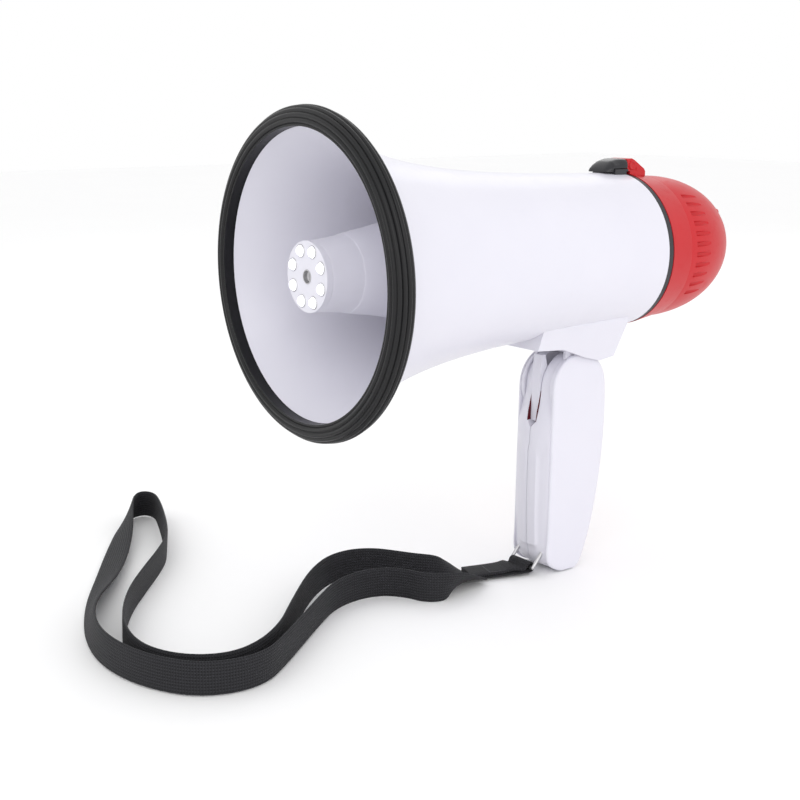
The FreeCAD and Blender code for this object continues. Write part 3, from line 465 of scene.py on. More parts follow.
class Finishes:
    """Every material of the object, one for each slot."""

    def __init__(self) -> None:
        """Build every material once."""
        self.by_slot: dict[Slot, bpy.types.Material] = {
            Slot.WHITE: MouldedPlastic("white_plastic", (0.755, 0.745, 0.815),
                                       (0.72, 0.71, 0.785), 0.30, coat=0.10,
                                       specular=0.4).build(),
            Slot.RED: MouldedPlastic("red_plastic", (0.56, 0.016, 0.022),
                                     (0.50, 0.011, 0.016), 0.34, coat=0.04,
                                     specular=0.3).build(),
            Slot.RUBBER: Rubber("rim_rubber", (0.005, 0.005, 0.006), (0.014, 0.014, 0.015),
                                0.30).build(),
            Slot.BLACK: MouldedPlastic("black_gloss", (0.010, 0.010, 0.013),
                                       (0.018, 0.018, 0.022), 0.18, coat=0.12,
                                       specular=0.4).build(),
            Slot.DARK: MouldedPlastic("dark_plastic", (0.022, 0.022, 0.026),
                                      (0.034, 0.033, 0.038), 0.45).build(),
            Slot.STEEL: Metal("plated_steel", (0.62, 0.62, 0.63), (0.50, 0.49, 0.50)).build(),
            Slot.LAMP: LampLens().build(),
            Slot.BOARD: MouldedPlastic("circuit_board", (0.015, 0.13, 0.045),
                                       (0.010, 0.09, 0.035), 0.35).build(),
            Slot.CLOTH: Rubber("coated_cloth", (0.05, 0.045, 0.04), (0.09, 0.08, 0.07), 0.7,
                               3200.0).build(),
            Slot.MAGNET: Metal("ferrite", (0.10, 0.10, 0.11), (0.07, 0.07, 0.075), 0.5).build(),
            Slot.CELL: MouldedPlastic("cell_sleeve", (0.035, 0.037, 0.045),
                                      (0.05, 0.05, 0.06), 0.22, coat=0.5).build(),
            Slot.CONTACT: Metal("contact_brass", (0.74, 0.60, 0.33), (0.62, 0.50, 0.28)).build(),
            Slot.FOAM: Rubber("foam", (0.02, 0.02, 0.022), (0.05, 0.05, 0.05), 0.9, 900.0).build(),
            Slot.WEBBING: WovenWebbing("black_webbing").build(),
        }

        # the slot lining's red plastic, darkened to paint the shade inside the trigger slot
        self.painted_shade_red = MouldedPlastic("painted_shade_red_plastic", (0.11, 0.004, 0.012),
                                       (0.08, 0.003, 0.009), 0.45, specular=0.2).build()

    def dress(self, piece: bpy.types.Object, slot: Slot) -> None:
        """Give a piece the material of its slot.

        Args:
            piece: the piece to dress.
            slot: the slot it takes its finish from.
        """
        piece.data.materials.clear()
        piece.data.materials.append(self.by_slot[slot])


class MeshKit:
    """Mesh building shared by every sub-assembly."""

    @staticmethod
    def piece(name: str, points: Sequence[Vector], faces: Sequence[Sequence[int]],
              smooth: float = 35.0) -> bpy.types.Object:
        """Make an object from points and faces.

        Args:
            name: the piece's name.
            points: places in the part's frame, in metres.
            faces: rows of point numbers.
            smooth: edges that turn by less than this many degrees are shaded smooth.

        Returns:
            The new object, linked to the scene.
        """
        mesh = bpy.data.meshes.new(name)
        mesh.from_pydata([tuple(point) for point in points], [], [tuple(face) for face in faces])
        mesh.validate()
        mesh.update()
        item = bpy.data.objects.new(name, mesh)
        bpy.context.scene.collection.objects.link(item)
        MeshKit.outward(item)
        MeshKit.shade(item, smooth)
        return item

    @staticmethod
    def outward(item: bpy.types.Object) -> None:
        """Turn every face of a closed mesh outward.

        Args:
            item: the object to mend.
        """
        work = bmesh.new()
        work.from_mesh(item.data)
        bmesh.ops.recalc_face_normals(work, faces=work.faces)
        work.to_mesh(item.data)
        work.free()

    @staticmethod
    def shade(item: bpy.types.Object, degrees: float) -> None:
        """Shade smooth, with creases at edges sharper than the angle.

        Args:
            item: the object to shade.
            degrees: the angle of a crease.
        """
        bpy.context.view_layer.objects.active = item
        item.select_set(True)
        bpy.ops.object.shade_smooth_by_angle(angle=math.radians(degrees))
        item.select_set(False)

    @staticmethod
    def curve_through(points: Sequence[Sequence[float]], per: int = 6) -> list[tuple[float, ...]]:
        """A smooth line through points, with a cubic span between each pair.

        Args:
            points: rows of coordinates.
            per: steps in each span.

        Returns:
            The points of the line.
        """
        count = len(points)
        line: list[tuple[float, ...]] = []
        for index in range(count - 1):
            before = points[max(index - 1, 0)]
            first = points[index]
            second = points[index + 1]
            after = points[min(index + 2, count - 1)]
            for step in range(per):
                t = step / per
                line.append(tuple(
                    0.5 * (2 * b + (c - a) * t + (2 * a - 5 * b + 4 * c - d) * t * t
                           + (3 * b - a - 3 * c + d) * t ** 3)
                    for a, b, c, d in zip(before, first, second, after)))
        line.append(tuple(points[-1]))
        return line

    @staticmethod
    def lathe(name: str, frame: HornFrame, ring: Sequence[tuple[float, float]],
              steps: int = 144) -> bpy.types.Object:
        """Turn a closed outline of (along, radius) about the horn's axis.

        Args:
            name: the piece's name.
            frame: places along the horn.
            ring: the outline.
            steps: how many copies of it go round.

        Returns:
            The turned piece.
        """
        points = []
        for step in range(steps):
            angle = 2 * math.pi * step / steps
            for along, radius in ring:
                points.append(frame.at(radius * math.cos(angle), along, radius * math.sin(angle)))
        count = len(ring)
        faces = []
        for step in range(steps):
            after = (step + 1) % steps
            for index in range(count):
                following = (index + 1) % count
                faces.append((step * count + index, step * count + following,
                              after * count + following, after * count + index))
        return MeshKit.piece(name, points, faces)

    @staticmethod
    def loft(name: str, rings: Sequence[Sequence[Vector]], smooth: float = 40.0
             ) -> bpy.types.Object:
        """Skin closed rings of equal size and close both ends with fans.

        Args:
            name: the piece's name.
            rings: the sections, in order.
            smooth: crease angle in degrees.

        Returns:
            The skinned piece.
        """
        count = len(rings[0])
        points = [point for ring in rings for point in ring]
        faces = []
        for level in range(len(rings) - 1):
            for index in range(count):
                after = (index + 1) % count
                faces.append((level * count + index, level * count + after,
                              (level + 1) * count + after, (level + 1) * count + index))
        for base, ring in ((0, rings[0]), ((len(rings) - 1) * count, rings[-1])):
            centre = sum(ring, Vector()) / count
            points.append(centre)
            for index in range(count):
                faces.append((base + index, base + (index + 1) % count, len(points) - 1))
        return MeshKit.piece(name, points, faces, smooth)

    @staticmethod
    def soften(item: bpy.types.Object, width: float, segments: int = 3,
               angle: float = 30.0) -> None:
        """Round the sharp edges of a piece with a bevel modifier.

        Args:
            item: the piece.
            width: the bevel in millimetres.
            segments: steps across it.
            angle: edges sharper than this are rounded.
        """
        bevel = item.modifiers.new("edge_round", "BEVEL")
        bevel.width = width * MM
        bevel.segments = segments
        bevel.limit_method = "ANGLE"
        bevel.angle_limit = math.radians(angle)
        bevel.use_clamp_overlap = True
        bevel.harden_normals = False


# Route of the strap's middle line on the ground in horn millimetres, as the CAD model has it,
# with the webbing's lean: 0 stands on its edge, 90 lies flat, positive to the left of the way.
STRAP_ROUTE: tuple[tuple[float, float, float], ...] = (
    (-3.2, 101.5, 84), (1.5, 91.5, 66), (8.0, 81.0, 34), (11.5, 71.0, 8), (6.0, 62.5, 0),
    (-5.5, 59.0, 0), (-14.5, 51.0, 2), (-17.0, 37.5, 2), (-12.5, 21.0, 2), (0.0, 4.0, 2),
    (15.0, -15.0, 2), (29.5, -33.5, 2), (39.5, -48.0, 2), (41.0, -63.0, 0), (34.0, -79.0, -2),
    (18.5, -89.5, -4), (-1.5, -95.5, -6), (-24.0, -96.0, -8), (-47.0, -90.0, -14),
    (-69.0, -79.0, -30), (-91.5, -65.0, -52), (-114.0, -49.5, -66), (-137.5, -34.5, -70),
    (-160.0, -20.5, -62), (-180.0, -8.5, -44), (-196.0, 1.5, -24), (-206.0, 10.5, -8),
    (-207.5, 18.0, 0), (-199.0, 20.5, 2), (-184.0, 15.5, 4), (-164.0, 7.5, 5), (-143.0, -1.5, 5),
    (-124.0, -11.0, 4), (-106.0, -25.5, 3), (-86.5, -43.0, 2), (-66.0, -60.5, 2),
    (-43.5, -75.0, 2), (-21.5, -85.0, 2), (0.5, -88.5, 2), (17.5, -83.5, 2), (29.0, -73.0, 2),
    (33.5, -59.5, 2), (28.5, -43.5, 2), (16.0, -26.5, 2), (1.0, -12.5, 2), (-13.5, 1.5, 2),
    (-26.0, 14.0, 2), (-36.5, 26.5, 2), (-44.5, 39.5, 2), (-46.5, 53.0, 2), (-41.0, 64.5, 2),
    (-30.5, 71.0, 4), (-19.5, 76.5, 12), (-13.0, 86.0, 36), (-11.0, 95.5, 66),
    (-10.8, 101.5, 84))


@dataclass(frozen=True)
class Strap:
    """The carrying strap: a ribbon of webbing on the ground and its stitched tab on the bail."""

    frame: HornFrame
    finishes: Finishes
    width: float = 15.0
    thick: float = 1.3
    length: float = 0.985
    loop: float = 5.5
    bail_radius: float = 0.9
    tab_turn: float = -17.0

    def spline(self, name: str, points: Sequence[tuple[float, float, float]]
               ) -> list[Vector]:
        """Sample a NURBS line whose control points are given.

        Args:
            name: the curve's name while it is made.
            points: its control points, in metres.

        Returns:
            Points along the smooth line.
        """
        data = bpy.data.curves.new(name, "CURVE")
        data.dimensions = "3D"
        data.resolution_u = 8
        line = data.splines.new("NURBS")
        line.points.add(len(points) - 1)
        for target, point in zip(line.points, points):
            target.co = (*point, 1.0)
        line.order_u = 3
        line.use_endpoint_u = True
        holder = bpy.data.objects.new(name, data)
        bpy.context.scene.collection.objects.link(holder)
        bpy.context.view_layer.update()
        mesh = bpy.data.meshes.new_from_object(holder)
        sampled = [vertex.co.copy() for vertex in mesh.vertices]
        bpy.data.objects.remove(holder)
        bpy.data.meshes.remove(mesh)
        return sampled

    def middle_height(self, lean: float) -> float:
        """Height of the webbing's middle above the ground at a lean, in millimetres."""
        turn = math.radians(abs(lean))
        return self.width / 2 * math.cos(turn) + self.thick / 2 * math.sin(turn) + 0.1

    def webbing(self) -> bpy.types.Object:
        """Build the loose ribbon along its route.

        Returns:
            The ribbon.
        """
        centres = []
        for x, y, lean in STRAP_ROUTE:
            spot = self.frame.at(x, y, 0)
            centres.append((spot.x, spot.y, self.middle_height(lean) * MM))
        middle = self.spline("strap_route", centres)
        leans = self.spline("strap_lean",
                            [(math.radians(lean), 0, 0) for _, _, lean in STRAP_ROUTE])
        count = len(middle)
        travelled = 0.0
        sections = []
        for index, centre in enumerate(middle):
            before = middle[max(index - 1, 0)]
            after = middle[min(index + 1, count - 1)]
            way = (after - before)
            way.z = 0
            way.normalize()
            left = Vector((-way.y, way.x, 0))
            lean = leans[index].x
            up = Vector((0, 0, 1)) * math.cos(lean) + left * math.sin(lean)
            out = up.cross(way).normalized()
            if index:
                travelled += (centre - before).length
            sections.append((centre, up, out, travelled))
        half = self.width / 2 * MM
        edge = self.thick / 2 * MM
        shape = [(-1.0, -0.35), (-0.93, -0.9), (-0.6, -1.0), (-0.2, -1.0), (0.2, -1.0), (0.6, -1.0),
                 (0.93, -0.9), (1.0, -0.35), (1.0, 0.35), (0.93, 0.9), (0.6, 1.0), (0.2, 1.0),
                 (-0.2, 1.0), (-0.6, 1.0), (-0.93, 0.9), (-1.0, 0.35)]
        rings = [[centre + up * (a * half) + out * (b * edge) for a, b in shape]
                 for centre, up, out, _ in sections]
        piece = MeshKit.loft("strap_ribbon", rings, 60.0)
        self.unwrap(piece, sections, shape)
        self.finishes.dress(piece, Slot.WEBBING)
        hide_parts("strap_webbing")
        self.lift(piece)
        return piece

    @staticmethod
    def unwrap(piece: bpy.types.Object, sections: Sequence[tuple], shape: Sequence[tuple]) -> None:
        """Store metres along the ribbon and the share across it, for the weave.

        Args:
            piece: the lofted webbing.
            sections: its stations, with the metres travelled last.
            shape: its outline across.
        """
        size = len(shape)
        layer = piece.data.uv_layers.new(name="along")
        for loop in piece.data.loops:
            number = loop.vertex_index
            level = min(number // size, len(sections) - 1)
            share = 0.5 + shape[number % size][0] / 2 if number < size * len(sections) else 0.5
            if number >= size * len(sections):
                level = 0 if number == size * len(sections) else len(sections) - 1
            layer.data[loop.index].uv = (sections[level][3], share)

    def tab(self) -> list[bpy.types.Object]:
        """Build the doubled end that wraps the bail's bar: a loop and the two layers of its tail.

        Returns:
            The loop and both layers of the tail.
        """
        low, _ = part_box("strap_bail")
        bar = Vector((0, low.y + self.bail_radius * MM, low.z + self.bail_radius * MM))
        turn = math.radians(self.tab_turn)
        wrap = 2.3 * MM
        steps = 14
        profile = []
        for step in range(steps + 1):
            angle = -math.pi / 2 + math.pi * 1.25 * step / steps
            profile.append((math.cos(angle) * wrap, math.sin(angle) * wrap))
        ground = 1.7 * MM - bar.z
        lower = [(-31.0 * MM, ground), (-12.0 * MM, ground), (-4.0 * MM, ground + 0.2 * MM),
                 (-1.5 * MM, -wrap * 0.98)]
        upper = [(-3.4 * MM, -0.6 * MM), (-7.5 * MM, ground + 2.3 * MM),
                 (-13.0 * MM, ground + 1.5 * MM), (-31.0 * MM, ground + 1.3 * MM)]
        line = [tuple(p) for p in MeshKit.curve_through(lower + profile + upper, 3)]
        half = self.width / 2 * MM
        edge = self.thick / 2 * MM
        rings = []
        shape = [(-1.0, 0.0), (-0.94, -1.0), (-0.33, -1.0), (0.33, -1.0), (0.94, -1.0), (1.0, 0.0),
                 (0.94, 1.0), (0.33, 1.0), (-0.33, 1.0), (-0.94, 1.0)]
        sections = []
        travelled = 0.0
        for index, (along, rise) in enumerate(line):
            before = line[max(index - 1, 0)]
            after = line[min(index + 1, len(line) - 1)]
            tangent = Vector((after[0] - before[0], after[1] - before[1]))
            tangent.normalize()
            swing = turn * min(1.0, max(0.0, (-along - 1.5 * MM) / (6.0 * MM)))
            forward = Vector((-math.sin(swing), math.cos(swing), 0))
            side = Vector((math.cos(swing), math.sin(swing), 0))
            normal = forward * -tangent.y + Vector((0, 0, 1)) * tangent.x
            centre = bar + forward * along + Vector((0, 0, rise))
            travelled += math.hypot(along - before[0], rise - before[1])
            rings.append([centre + side * (a * half) + normal * (b * edge * 0.9)
                          for a, b in shape])
            sections.append((centre, side, normal, travelled))
        front = [index for index, (along, _) in enumerate(line) if along > -self.loop * MM]
        first = front[0]
        last = front[-1]
        parts = (("strap_end", first, last + 1), ("strap_tail_lower", 0, first + 1),
                 ("strap_tail_upper", last, len(rings)))
        pieces = []
        for name, begin, stop in parts:
            piece = MeshKit.loft(name, rings[begin:stop], 60.0)
            self.unwrap(piece, sections[begin:stop], shape)
            self.finishes.dress(piece, Slot.WEBBING)
            if name == "strap_end":
                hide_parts("strap_tab")
                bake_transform(piece)
            else:
                self.lift(piece)
            pieces.append(piece)
        return pieces

    def stitches(self) -> bpy.types.Object:
        """Lay a box of thread stitches on top of the tab's tail.

        Returns:
            The stitches, in one mesh.
        """
        low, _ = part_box("strap_bail")
        bar = Vector((0, low.y + self.bail_radius * MM, 0))
        turn = math.radians(self.tab_turn)
        forward = Vector((-math.sin(turn), math.cos(turn), 0))
        side = Vector((math.cos(turn), math.sin(turn), 0))
        height = 3.72 * MM
        spots = []
        for number in range(6):
            share = -0.8 + 0.32 * number
            spots.append((-20.5, share * 6.6, True))
            spots.append((-11.5, share * 6.6, True))
        for number in range(4):
            spots.append((-19.4 + 2.3 * number, -5.9, False))
            spots.append((-19.4 + 2.3 * number, 5.9, False))
        points = []
        faces = []
        for along, across, crosswise in spots:
            run = side if crosswise else forward
            over = forward if crosswise else side
            centre = bar + forward * (along * MM) + side * (across * MM) + Vector((0, 0, height))
            base = len(points)
            for part in range(5):
                share = part / 4 * 2 - 1
                rise = 0.28 * MM * (1 - share * share)
                for spread in (-1, 0, 1):
                    lift = rise if spread == 0 else rise * 0.4
                    points.append(centre + run * (share * 0.9 * MM)
                                  + over * (spread * 0.32 * MM) + Vector((0, 0, lift)))
            for part in range(5):
                points.append(points[base + part * 3] + Vector((0, 0, -0.5 * MM)))
                points.append(points[base + part * 3 + 2] + Vector((0, 0, -0.5 * MM)))
            for part in range(4):
                a = base + part * 3
                u = base + 15 + part * 2
                faces += [(a, a + 3, a + 4, a + 1), (a + 1, a + 4, a + 5, a + 2),
                          (a, u, u + 2, a + 3), (a + 2, a + 5, u + 3, u + 1),
                          (u, u + 1, u + 3, u + 2)]
            last = base + 12
            faces += [(base, base + 1, base + 2, base + 16, base + 15),
                      (last, base + 23, base + 24, last + 2, last + 1)]
        piece = MeshKit.piece("strap_stitches", points, faces, 60.0)
        self.finishes.dress(piece, Slot.WEBBING)
        piece.data.materials[0] = self.finishes.by_slot[Slot.DARK]
        self.lift(piece)
        return piece

    def lift(self, piece: bpy.types.Object) -> None:
        """Leave the webbing where it lies on the ground, with its placement baked into its mesh.

        Args:
            piece: webbing or stitches that lie on the ground.
        """
        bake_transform(piece)

    def build(self) -> list[bpy.types.Object]:
        """Build the strap's pieces."""
        return [self.webbing(), *self.tab(), self.stitches()]


class Studio:
    """Floor, soft light and the camera."""

    AZIMUTH = 53.0
    ELEVATION = 12.53
    LENS = 61.15
    PLACE = Vector((0.5019, -0.3268, 0.0771))

    def __init__(self, frame: HornFrame) -> None:
        """Keep the horn's frame for the camera."""
        self.frame = frame

    def camera(self) -> None:
        """Place the camera in front and to the side, a little above."""
        data = bpy.data.cameras.new("camera")
        data.lens = self.LENS
        data.sensor_width = 36.0
        data.clip_start = 0.01
        item = bpy.data.objects.new("camera", data)
        bpy.context.scene.collection.objects.link(item)
        item.location = self.PLACE + Vector((0, self.frame.front_y, self.frame.axis_z))
        item.rotation_euler = (math.radians(90.0 - self.ELEVATION), 0.0, math.radians(self.AZIMUTH))
        bpy.context.scene.camera = item

    def lamp(self, name: str, place: tuple[float, float, float], size: float, power: float) -> None:
        """Add one soft square light that looks at the object.

        Args:
            name: the light's name.
            place: where it hangs, in metres.
            size: its side in metres.
            power: watts.
        """
        data = bpy.data.lights.new(name, "AREA")
        data.shape = "SQUARE"
        data.size = size
        data.energy = power
        item = bpy.data.objects.new(name, data)
        bpy.context.scene.collection.objects.link(item)
        item.location = place
        aim = Vector((0, 0, 0.12)) - item.location
        item.rotation_euler = aim.to_track_quat("-Z", "Y").to_euler()

    def build(self) -> None:
        """Set the world, the floor, three lights and the camera."""
        world = bpy.data.worlds.new("studio")
        world.use_nodes = True
        world.node_tree.nodes["Background"].inputs["Color"].default_value = (1, 1, 1, 1)
        world.node_tree.nodes["Background"].inputs["Strength"].default_value = 1.0
        bpy.context.scene.world = world
        bpy.context.scene.view_settings.view_transform = "Standard"
        half = 4.0
        ground = -0.0004
        corners = [Vector((-half, -half, ground)), Vector((half, -half, ground)),
                   Vector((half, half, ground)), Vector((-half, half, ground))]
        floor = MeshKit.piece("floor", corners, [(0, 1, 2, 3)])
        floor.data.materials.append(Floor().build())
        self.lamp("key", (0.9, -1.0, 0.9), 0.9, 3.6)
        self.lamp("fill", (1.3, 0.1, 0.35), 0.8, 2.0)
        self.lamp("back", (-0.9, 1.0, 1.1), 0.8, 1.5)
        self.camera()


@dataclass(frozen=True)
class RimBumper:
    """Rubber ring on the bell's lip, with raised ribs round its front."""

    frame: HornFrame
    finishes: Finishes
    radius: float = 68.6
    section: float = 6.1
    ribs: int = 9
    rib_depth: float = 0.85
    lip_radius: float = 65.45

    def outline(self) -> list[tuple[float, float]]:
        """Section of the ring: a ribbed round front and a slot that fits the bell's lip.

        Returns:
            Pairs of (along, radius).
        """
        line = []
        steps = 216
        start = math.radians(-62.0)
        end = math.radians(206.0)
        for step in range(steps + 1):
            share = step / steps
            angle = start + (end - start) * share
            ribbed = max(0.0, min(1.0, (share - 0.06) * 18.0))
            ribbed *= max(0.0, min(1.0, (0.94 - share) * 18.0))
            wave = abs(math.sin(math.pi * self.ribs * (share - 0.06) / 0.88)) ** 0.7
            reach = self.section - self.rib_depth * ribbed * (1.0 - wave)
            line.append((0.5 + reach * math.sin(angle) * 0.93,
                         self.radius + reach * math.cos(angle)))
        return line

    def build(self) -> list[bpy.types.Object]:
        """Turn the section about the horn's axis.

        Returns:
            The ring.
        """
        turned = []
        for along, radius in self.outline():
            turned.append((-along + 1.0, radius))
        keep = [(along, max(radius, self.lip_radius)) for along, radius in turned]
        keep += [(0.2, self.lip_radius), (0.2, 68.2)]
        piece = MeshKit.lathe("rim_rubber_ring", self.frame, keep, 180)
        self.finishes.dress(piece, Slot.RUBBER)
        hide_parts("rim_bumper")
        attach(piece, Body.HORN.value)
        return [piece]


@dataclass(frozen=True)
class ReflexCup:
    """White cup in the bell with a stepped nose and the lamp plate."""

    frame: HornFrame
    finishes: Finishes

    def build(self) -> list[bpy.types.Object]:
        """Turn the cup's smooth wall about the axis.

        Returns:
            The cup.
        """
        outer = MeshKit.curve_through([
            (3.0, 15.7), (4.0, 16.0), (9.8, 16.5), (17.2, 17.4), (19.0, 17.7),
            (19.8, 18.0), (26.0, 19.1), (34.5, 20.4), (45.0, 22.4), (56.0, 24.4), (66.5, 24.9),
            (68.6, 25.0), (69.0, 24.4)], 5)
        inner = MeshKit.curve_through([
            (68.8, 23.6), (66.0, 23.1), (55.0, 22.5), (44.0, 20.4), (34.0, 18.6), (17.0, 15.8),
            (8.4, 10.0), (8.2, 1.56), (6.4, 1.56), (6.4, 14.2), (3.0, 14.2)], 1)
        piece = MeshKit.lathe("reflex_cup_shell", self.frame, outer + inner, 128)
        self.finishes.dress(piece, Slot.WHITE)
        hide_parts("reflex_cup")
        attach(piece, Body.HORN.value)
        return [piece]


@dataclass(frozen=True)
class LampFace:
    """Dark collars round the eight lamps and the screw well in the middle of the plate."""

    frame: HornFrame
    finishes: Finishes
    circle: float = 12.05
    lamps: int = 8
    first: float = 113.4
    lamp_radius: float = 2.5
    well_radius: float = 3.25

    def collars(self) -> bpy.types.Object:
        """Turn one low collar round each lamp, all in one mesh.

        Returns:
            The collars.
        """
        section = [(0.0, 0.08), (0.0, 0.55), (-0.35, 0.42), (-0.45, 0.25), (-0.35, 0.08)]
        steps = 28
        points = []
        faces = []
        for number in range(self.lamps):
            angle = math.radians(self.first - 360.0 * number / self.lamps)
            x = self.circle * math.cos(angle)
            z = self.circle * math.sin(angle)
            base = len(points)
            for step in range(steps):
                way = 2 * math.pi * step / steps
                for along, rise in section:
                    reach = self.lamp_radius + rise
                    points.append(self.frame.at(x + reach * math.cos(way), along,
                                                z + reach * math.sin(way)))
            count = len(section)
            for step in range(steps):
                after = (step + 1) % steps
                for index in range(count):
                    following = (index + 1) % count
                    faces.append((base + step * count + index, base + step * count + following,
                                  base + after * count + following, base + after * count + index))
        piece = MeshKit.piece("lamp_collars", points, faces, 50.0)
        self.finishes.dress(piece, Slot.STEEL)
        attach(piece, Body.HORN.value)
        return piece

    def well(self) -> bpy.types.Object:
        """Turn the shallow steel cup that closes the screw well.

        Returns:
            The cup of the well.
        """
        radius = self.well_radius
        ring = [(-0.1, radius - 0.02), (-0.1, radius - 0.45), (1.9, radius - 0.6),
                (2.2, radius - 1.0), (2.25, 0.02), (2.7, 0.02), (2.7, radius - 0.02)]
        piece = MeshKit.lathe("screw_well_cup", self.frame, ring, 48)
        self.finishes.dress(piece, Slot.STEEL)
        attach(piece, Body.HORN.value)
        return piece

    def build(self) -> list[bpy.types.Object]:
        """Build the collars and the well."""
        return [self.collars(), self.well()]


@dataclass(frozen=True)
class Handle:
    """Pistol handle: two bowed core halves with a seam, and two smooth side covers."""

    frame: HornFrame
    finishes: Finishes
    hinge_y: float = 157.0
    hinge_z: float = -68.0
    round_top: float = 18.25
    cover_inside: float = 12.0
    hinge_half: float = 9.4
    slot_half: float = 3.25
    seam_half: float = 0.16
    seam_chamfer: float = 0.45
    panel_half: float = 6.2
    panel_depth: float = 1.0
    face_bow: float = 3.0

    def outline(self, forward: float, rearward: float) -> list[tuple[float, float, float]]:
        """Front and rear of the handle at falling heights.

        Args:
            forward: how far the front stands proud of the side covers' front.
            rearward: the same at the rear.

        Returns:
            Rows of (height, front, rear) from the round top to the foot.
        """
        rows = []
        for step in range(1, 13):
            angle = math.pi / 2 * (1 - step / 12)
            reach = self.round_top * math.cos(angle)
            rows.append((self.hinge_z + self.round_top * math.sin(angle),
                         self.hinge_y - reach, self.hinge_y + reach))
        lower = MeshKit.curve_through([
            (-68.0, 138.75, 175.25), (-76.0, 138.6 - forward * 0.3, 175.6 + rearward),
            (-88.0, 138.3 - forward, 175.5 + rearward), (-104.0, 137.9 - forward, 174.4 + rearward),
            (-120.0, 137.6 - forward, 172.3 + rearward),
            (-134.0, 137.3 - forward * 0.9, 169.6 + rearward),
            (-146.0, 137.0 - forward * 0.7, 166.5 + rearward),
            (-153.0, 136.6 - forward * 0.5, 164.0 + rearward),
            (-158.5, 137.6 - forward * 0.3, 161.8 + rearward * 0.8), (-162.0, 141.0, 159.8),
            (-164.2, 145.4, 157.8), (-164.9, 148.2, 156.6)], 4)
        return rows + [tuple(row) for row in lower[1:]]

    def bow(self, share: float, depth: float) -> float:
        """How far a bowed face falls back at a share of the half width."""
        return depth * share * share

    def half(self, side: int) -> bpy.types.Object:
        """One core half, from the seam out to its side cover.

        Args:
            side: 1 for the right, -1 for the left.

        Returns:
            The core half.
        """
        rings = []
        steps = 10
        for height, front, rear in self.outline(3.4, 1.1):
            in_hinge = height > self.hinge_z - 7.5
            outer = self.hinge_half if in_hinge else self.cover_inside - 0.05
            inner = self.slot_half if height > -86.0 else self.seam_half
            room = min(1.0, max(0.0, (rear - front) / 30.0))
            ring = []
            for step in range(steps + 1):
                x = inner + (outer - inner) * step / steps
                sunk = x < self.panel_half and -150.0 < height < -96.0
                panel = self.panel_depth if sunk else 0.0
                chamfer = self.seam_chamfer if step == 0 else 0.0
                y = front + self.bow(x / self.cover_inside, self.face_bow) * room + chamfer - panel
                ring.append(self.frame.at(side * x, y, height))
            for step in range(steps, -1, -1):
                x = inner + (outer - inner) * step / steps
                chamfer = self.seam_chamfer if step == 0 else 0.0
                y = rear - self.bow(x / self.cover_inside, self.face_bow) * room - chamfer
                ring.append(self.frame.at(side * x, y, height))
            rings.append(ring)
        name = "right" if side > 0 else "left"
        piece = MeshKit.loft(f"handle_core_{name}", rings, 32.0)
        self.finishes.dress(piece, Slot.WHITE)
        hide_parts(f"handle_shell_{name}")
        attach(piece, Body.HANDLE.value)
        return piece

    def cover(self, side: int) -> bpy.types.Object:
        """One smooth pill-shaped side cover with a rolled edge and a slight crown.

        Args:
            side: 1 for the right, -1 for the left.

        Returns:
            The cover.
        """
        rows = self.outline(0.0, 0.0)
        loop = [(height, front) for height, front, _ in rows]
        loop += [(height, rear) for height, _, rear in reversed(rows)]
        centre_y = sum(y for _, y in loop) / len(loop)
        centre_z = sum(z for z, _ in loop) / len(loop)
        levels = [(0.0, 0.0), (0.55, 0.0), (1.0, 0.12), (1.35, 0.42), (1.6, 0.85), (1.72, 1.5),
                  (1.80, 2.8), (1.86, 6.0), (1.9, 11.0)]
        rings = []
        for rise, inset in levels:
            ring = []
            for height, y in loop:
                away = math.hypot(y - centre_y, height - centre_z)
                # pulled in along both directions, so the pill keeps an even edge
                pull_y = max(-1.0, min(1.0, (y - centre_y) / 15.0))
                pull_z = max(-1.0, min(1.0, (height - centre_z) / 48.0)) ** 5
                scale = min(1.0, away / 12.0)
                ring.append(self.frame.at(
                    side * (self.cover_inside + rise - 0.1), y - inset * pull_y * scale,
                    height - inset * pull_z * scale))
            rings.append(ring)
        name = "right" if side > 0 else "left"
        piece = MeshKit.loft(f"handle_cover_{name}", rings, 50.0)
        self.finishes.dress(piece, Slot.WHITE)
        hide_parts(f"side_cover_{name}")
        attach(piece, Body.HANDLE.value)
        return piece

    def slot_lining(self) -> bpy.types.Object:
        """Red wedge that shows in the slot below the trigger, its red darkened with painted shade.

        Returns:
            The lining.
        """
        points = []
        faces = []
        for side in (1, -1):
            base = len(points)
            spots = [(139.2, -69.0), (141.4, -69.0), (141.6, -85.4), (135.9, -85.4), (136.6, -80.0)]
            for x in (3.32, 3.05):
                points += [self.frame.at(side * x, y, z) for y, z in spots]
            faces.append(tuple(base + n for n in range(5)))
            faces.append(tuple(base + 5 + n for n in range(5)))
            for number in range(5):
                after = (number + 1) % 5
                faces.append((base + number, base + after, base + 5 + after, base + 5 + number))
        piece = MeshKit.piece("trigger_slot_lining", points, faces)
        self.finishes.dress(piece, Slot.RED)
        # darker red: the lining's real red with the slot's shade painted into it
        piece.data.materials[0] = self.finishes.painted_shade_red
        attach(piece, Body.HANDLE.value)
        return piece

    def build(self) -> list[bpy.types.Object]:
        """Build both halves, both covers and the slot's lining.

        Returns:
            The handle's pieces.
        """
        pieces = []
        for side in (1, -1):
            pieces += [self.half(side), self.cover(side)]
        return pieces + [self.slot_lining()]


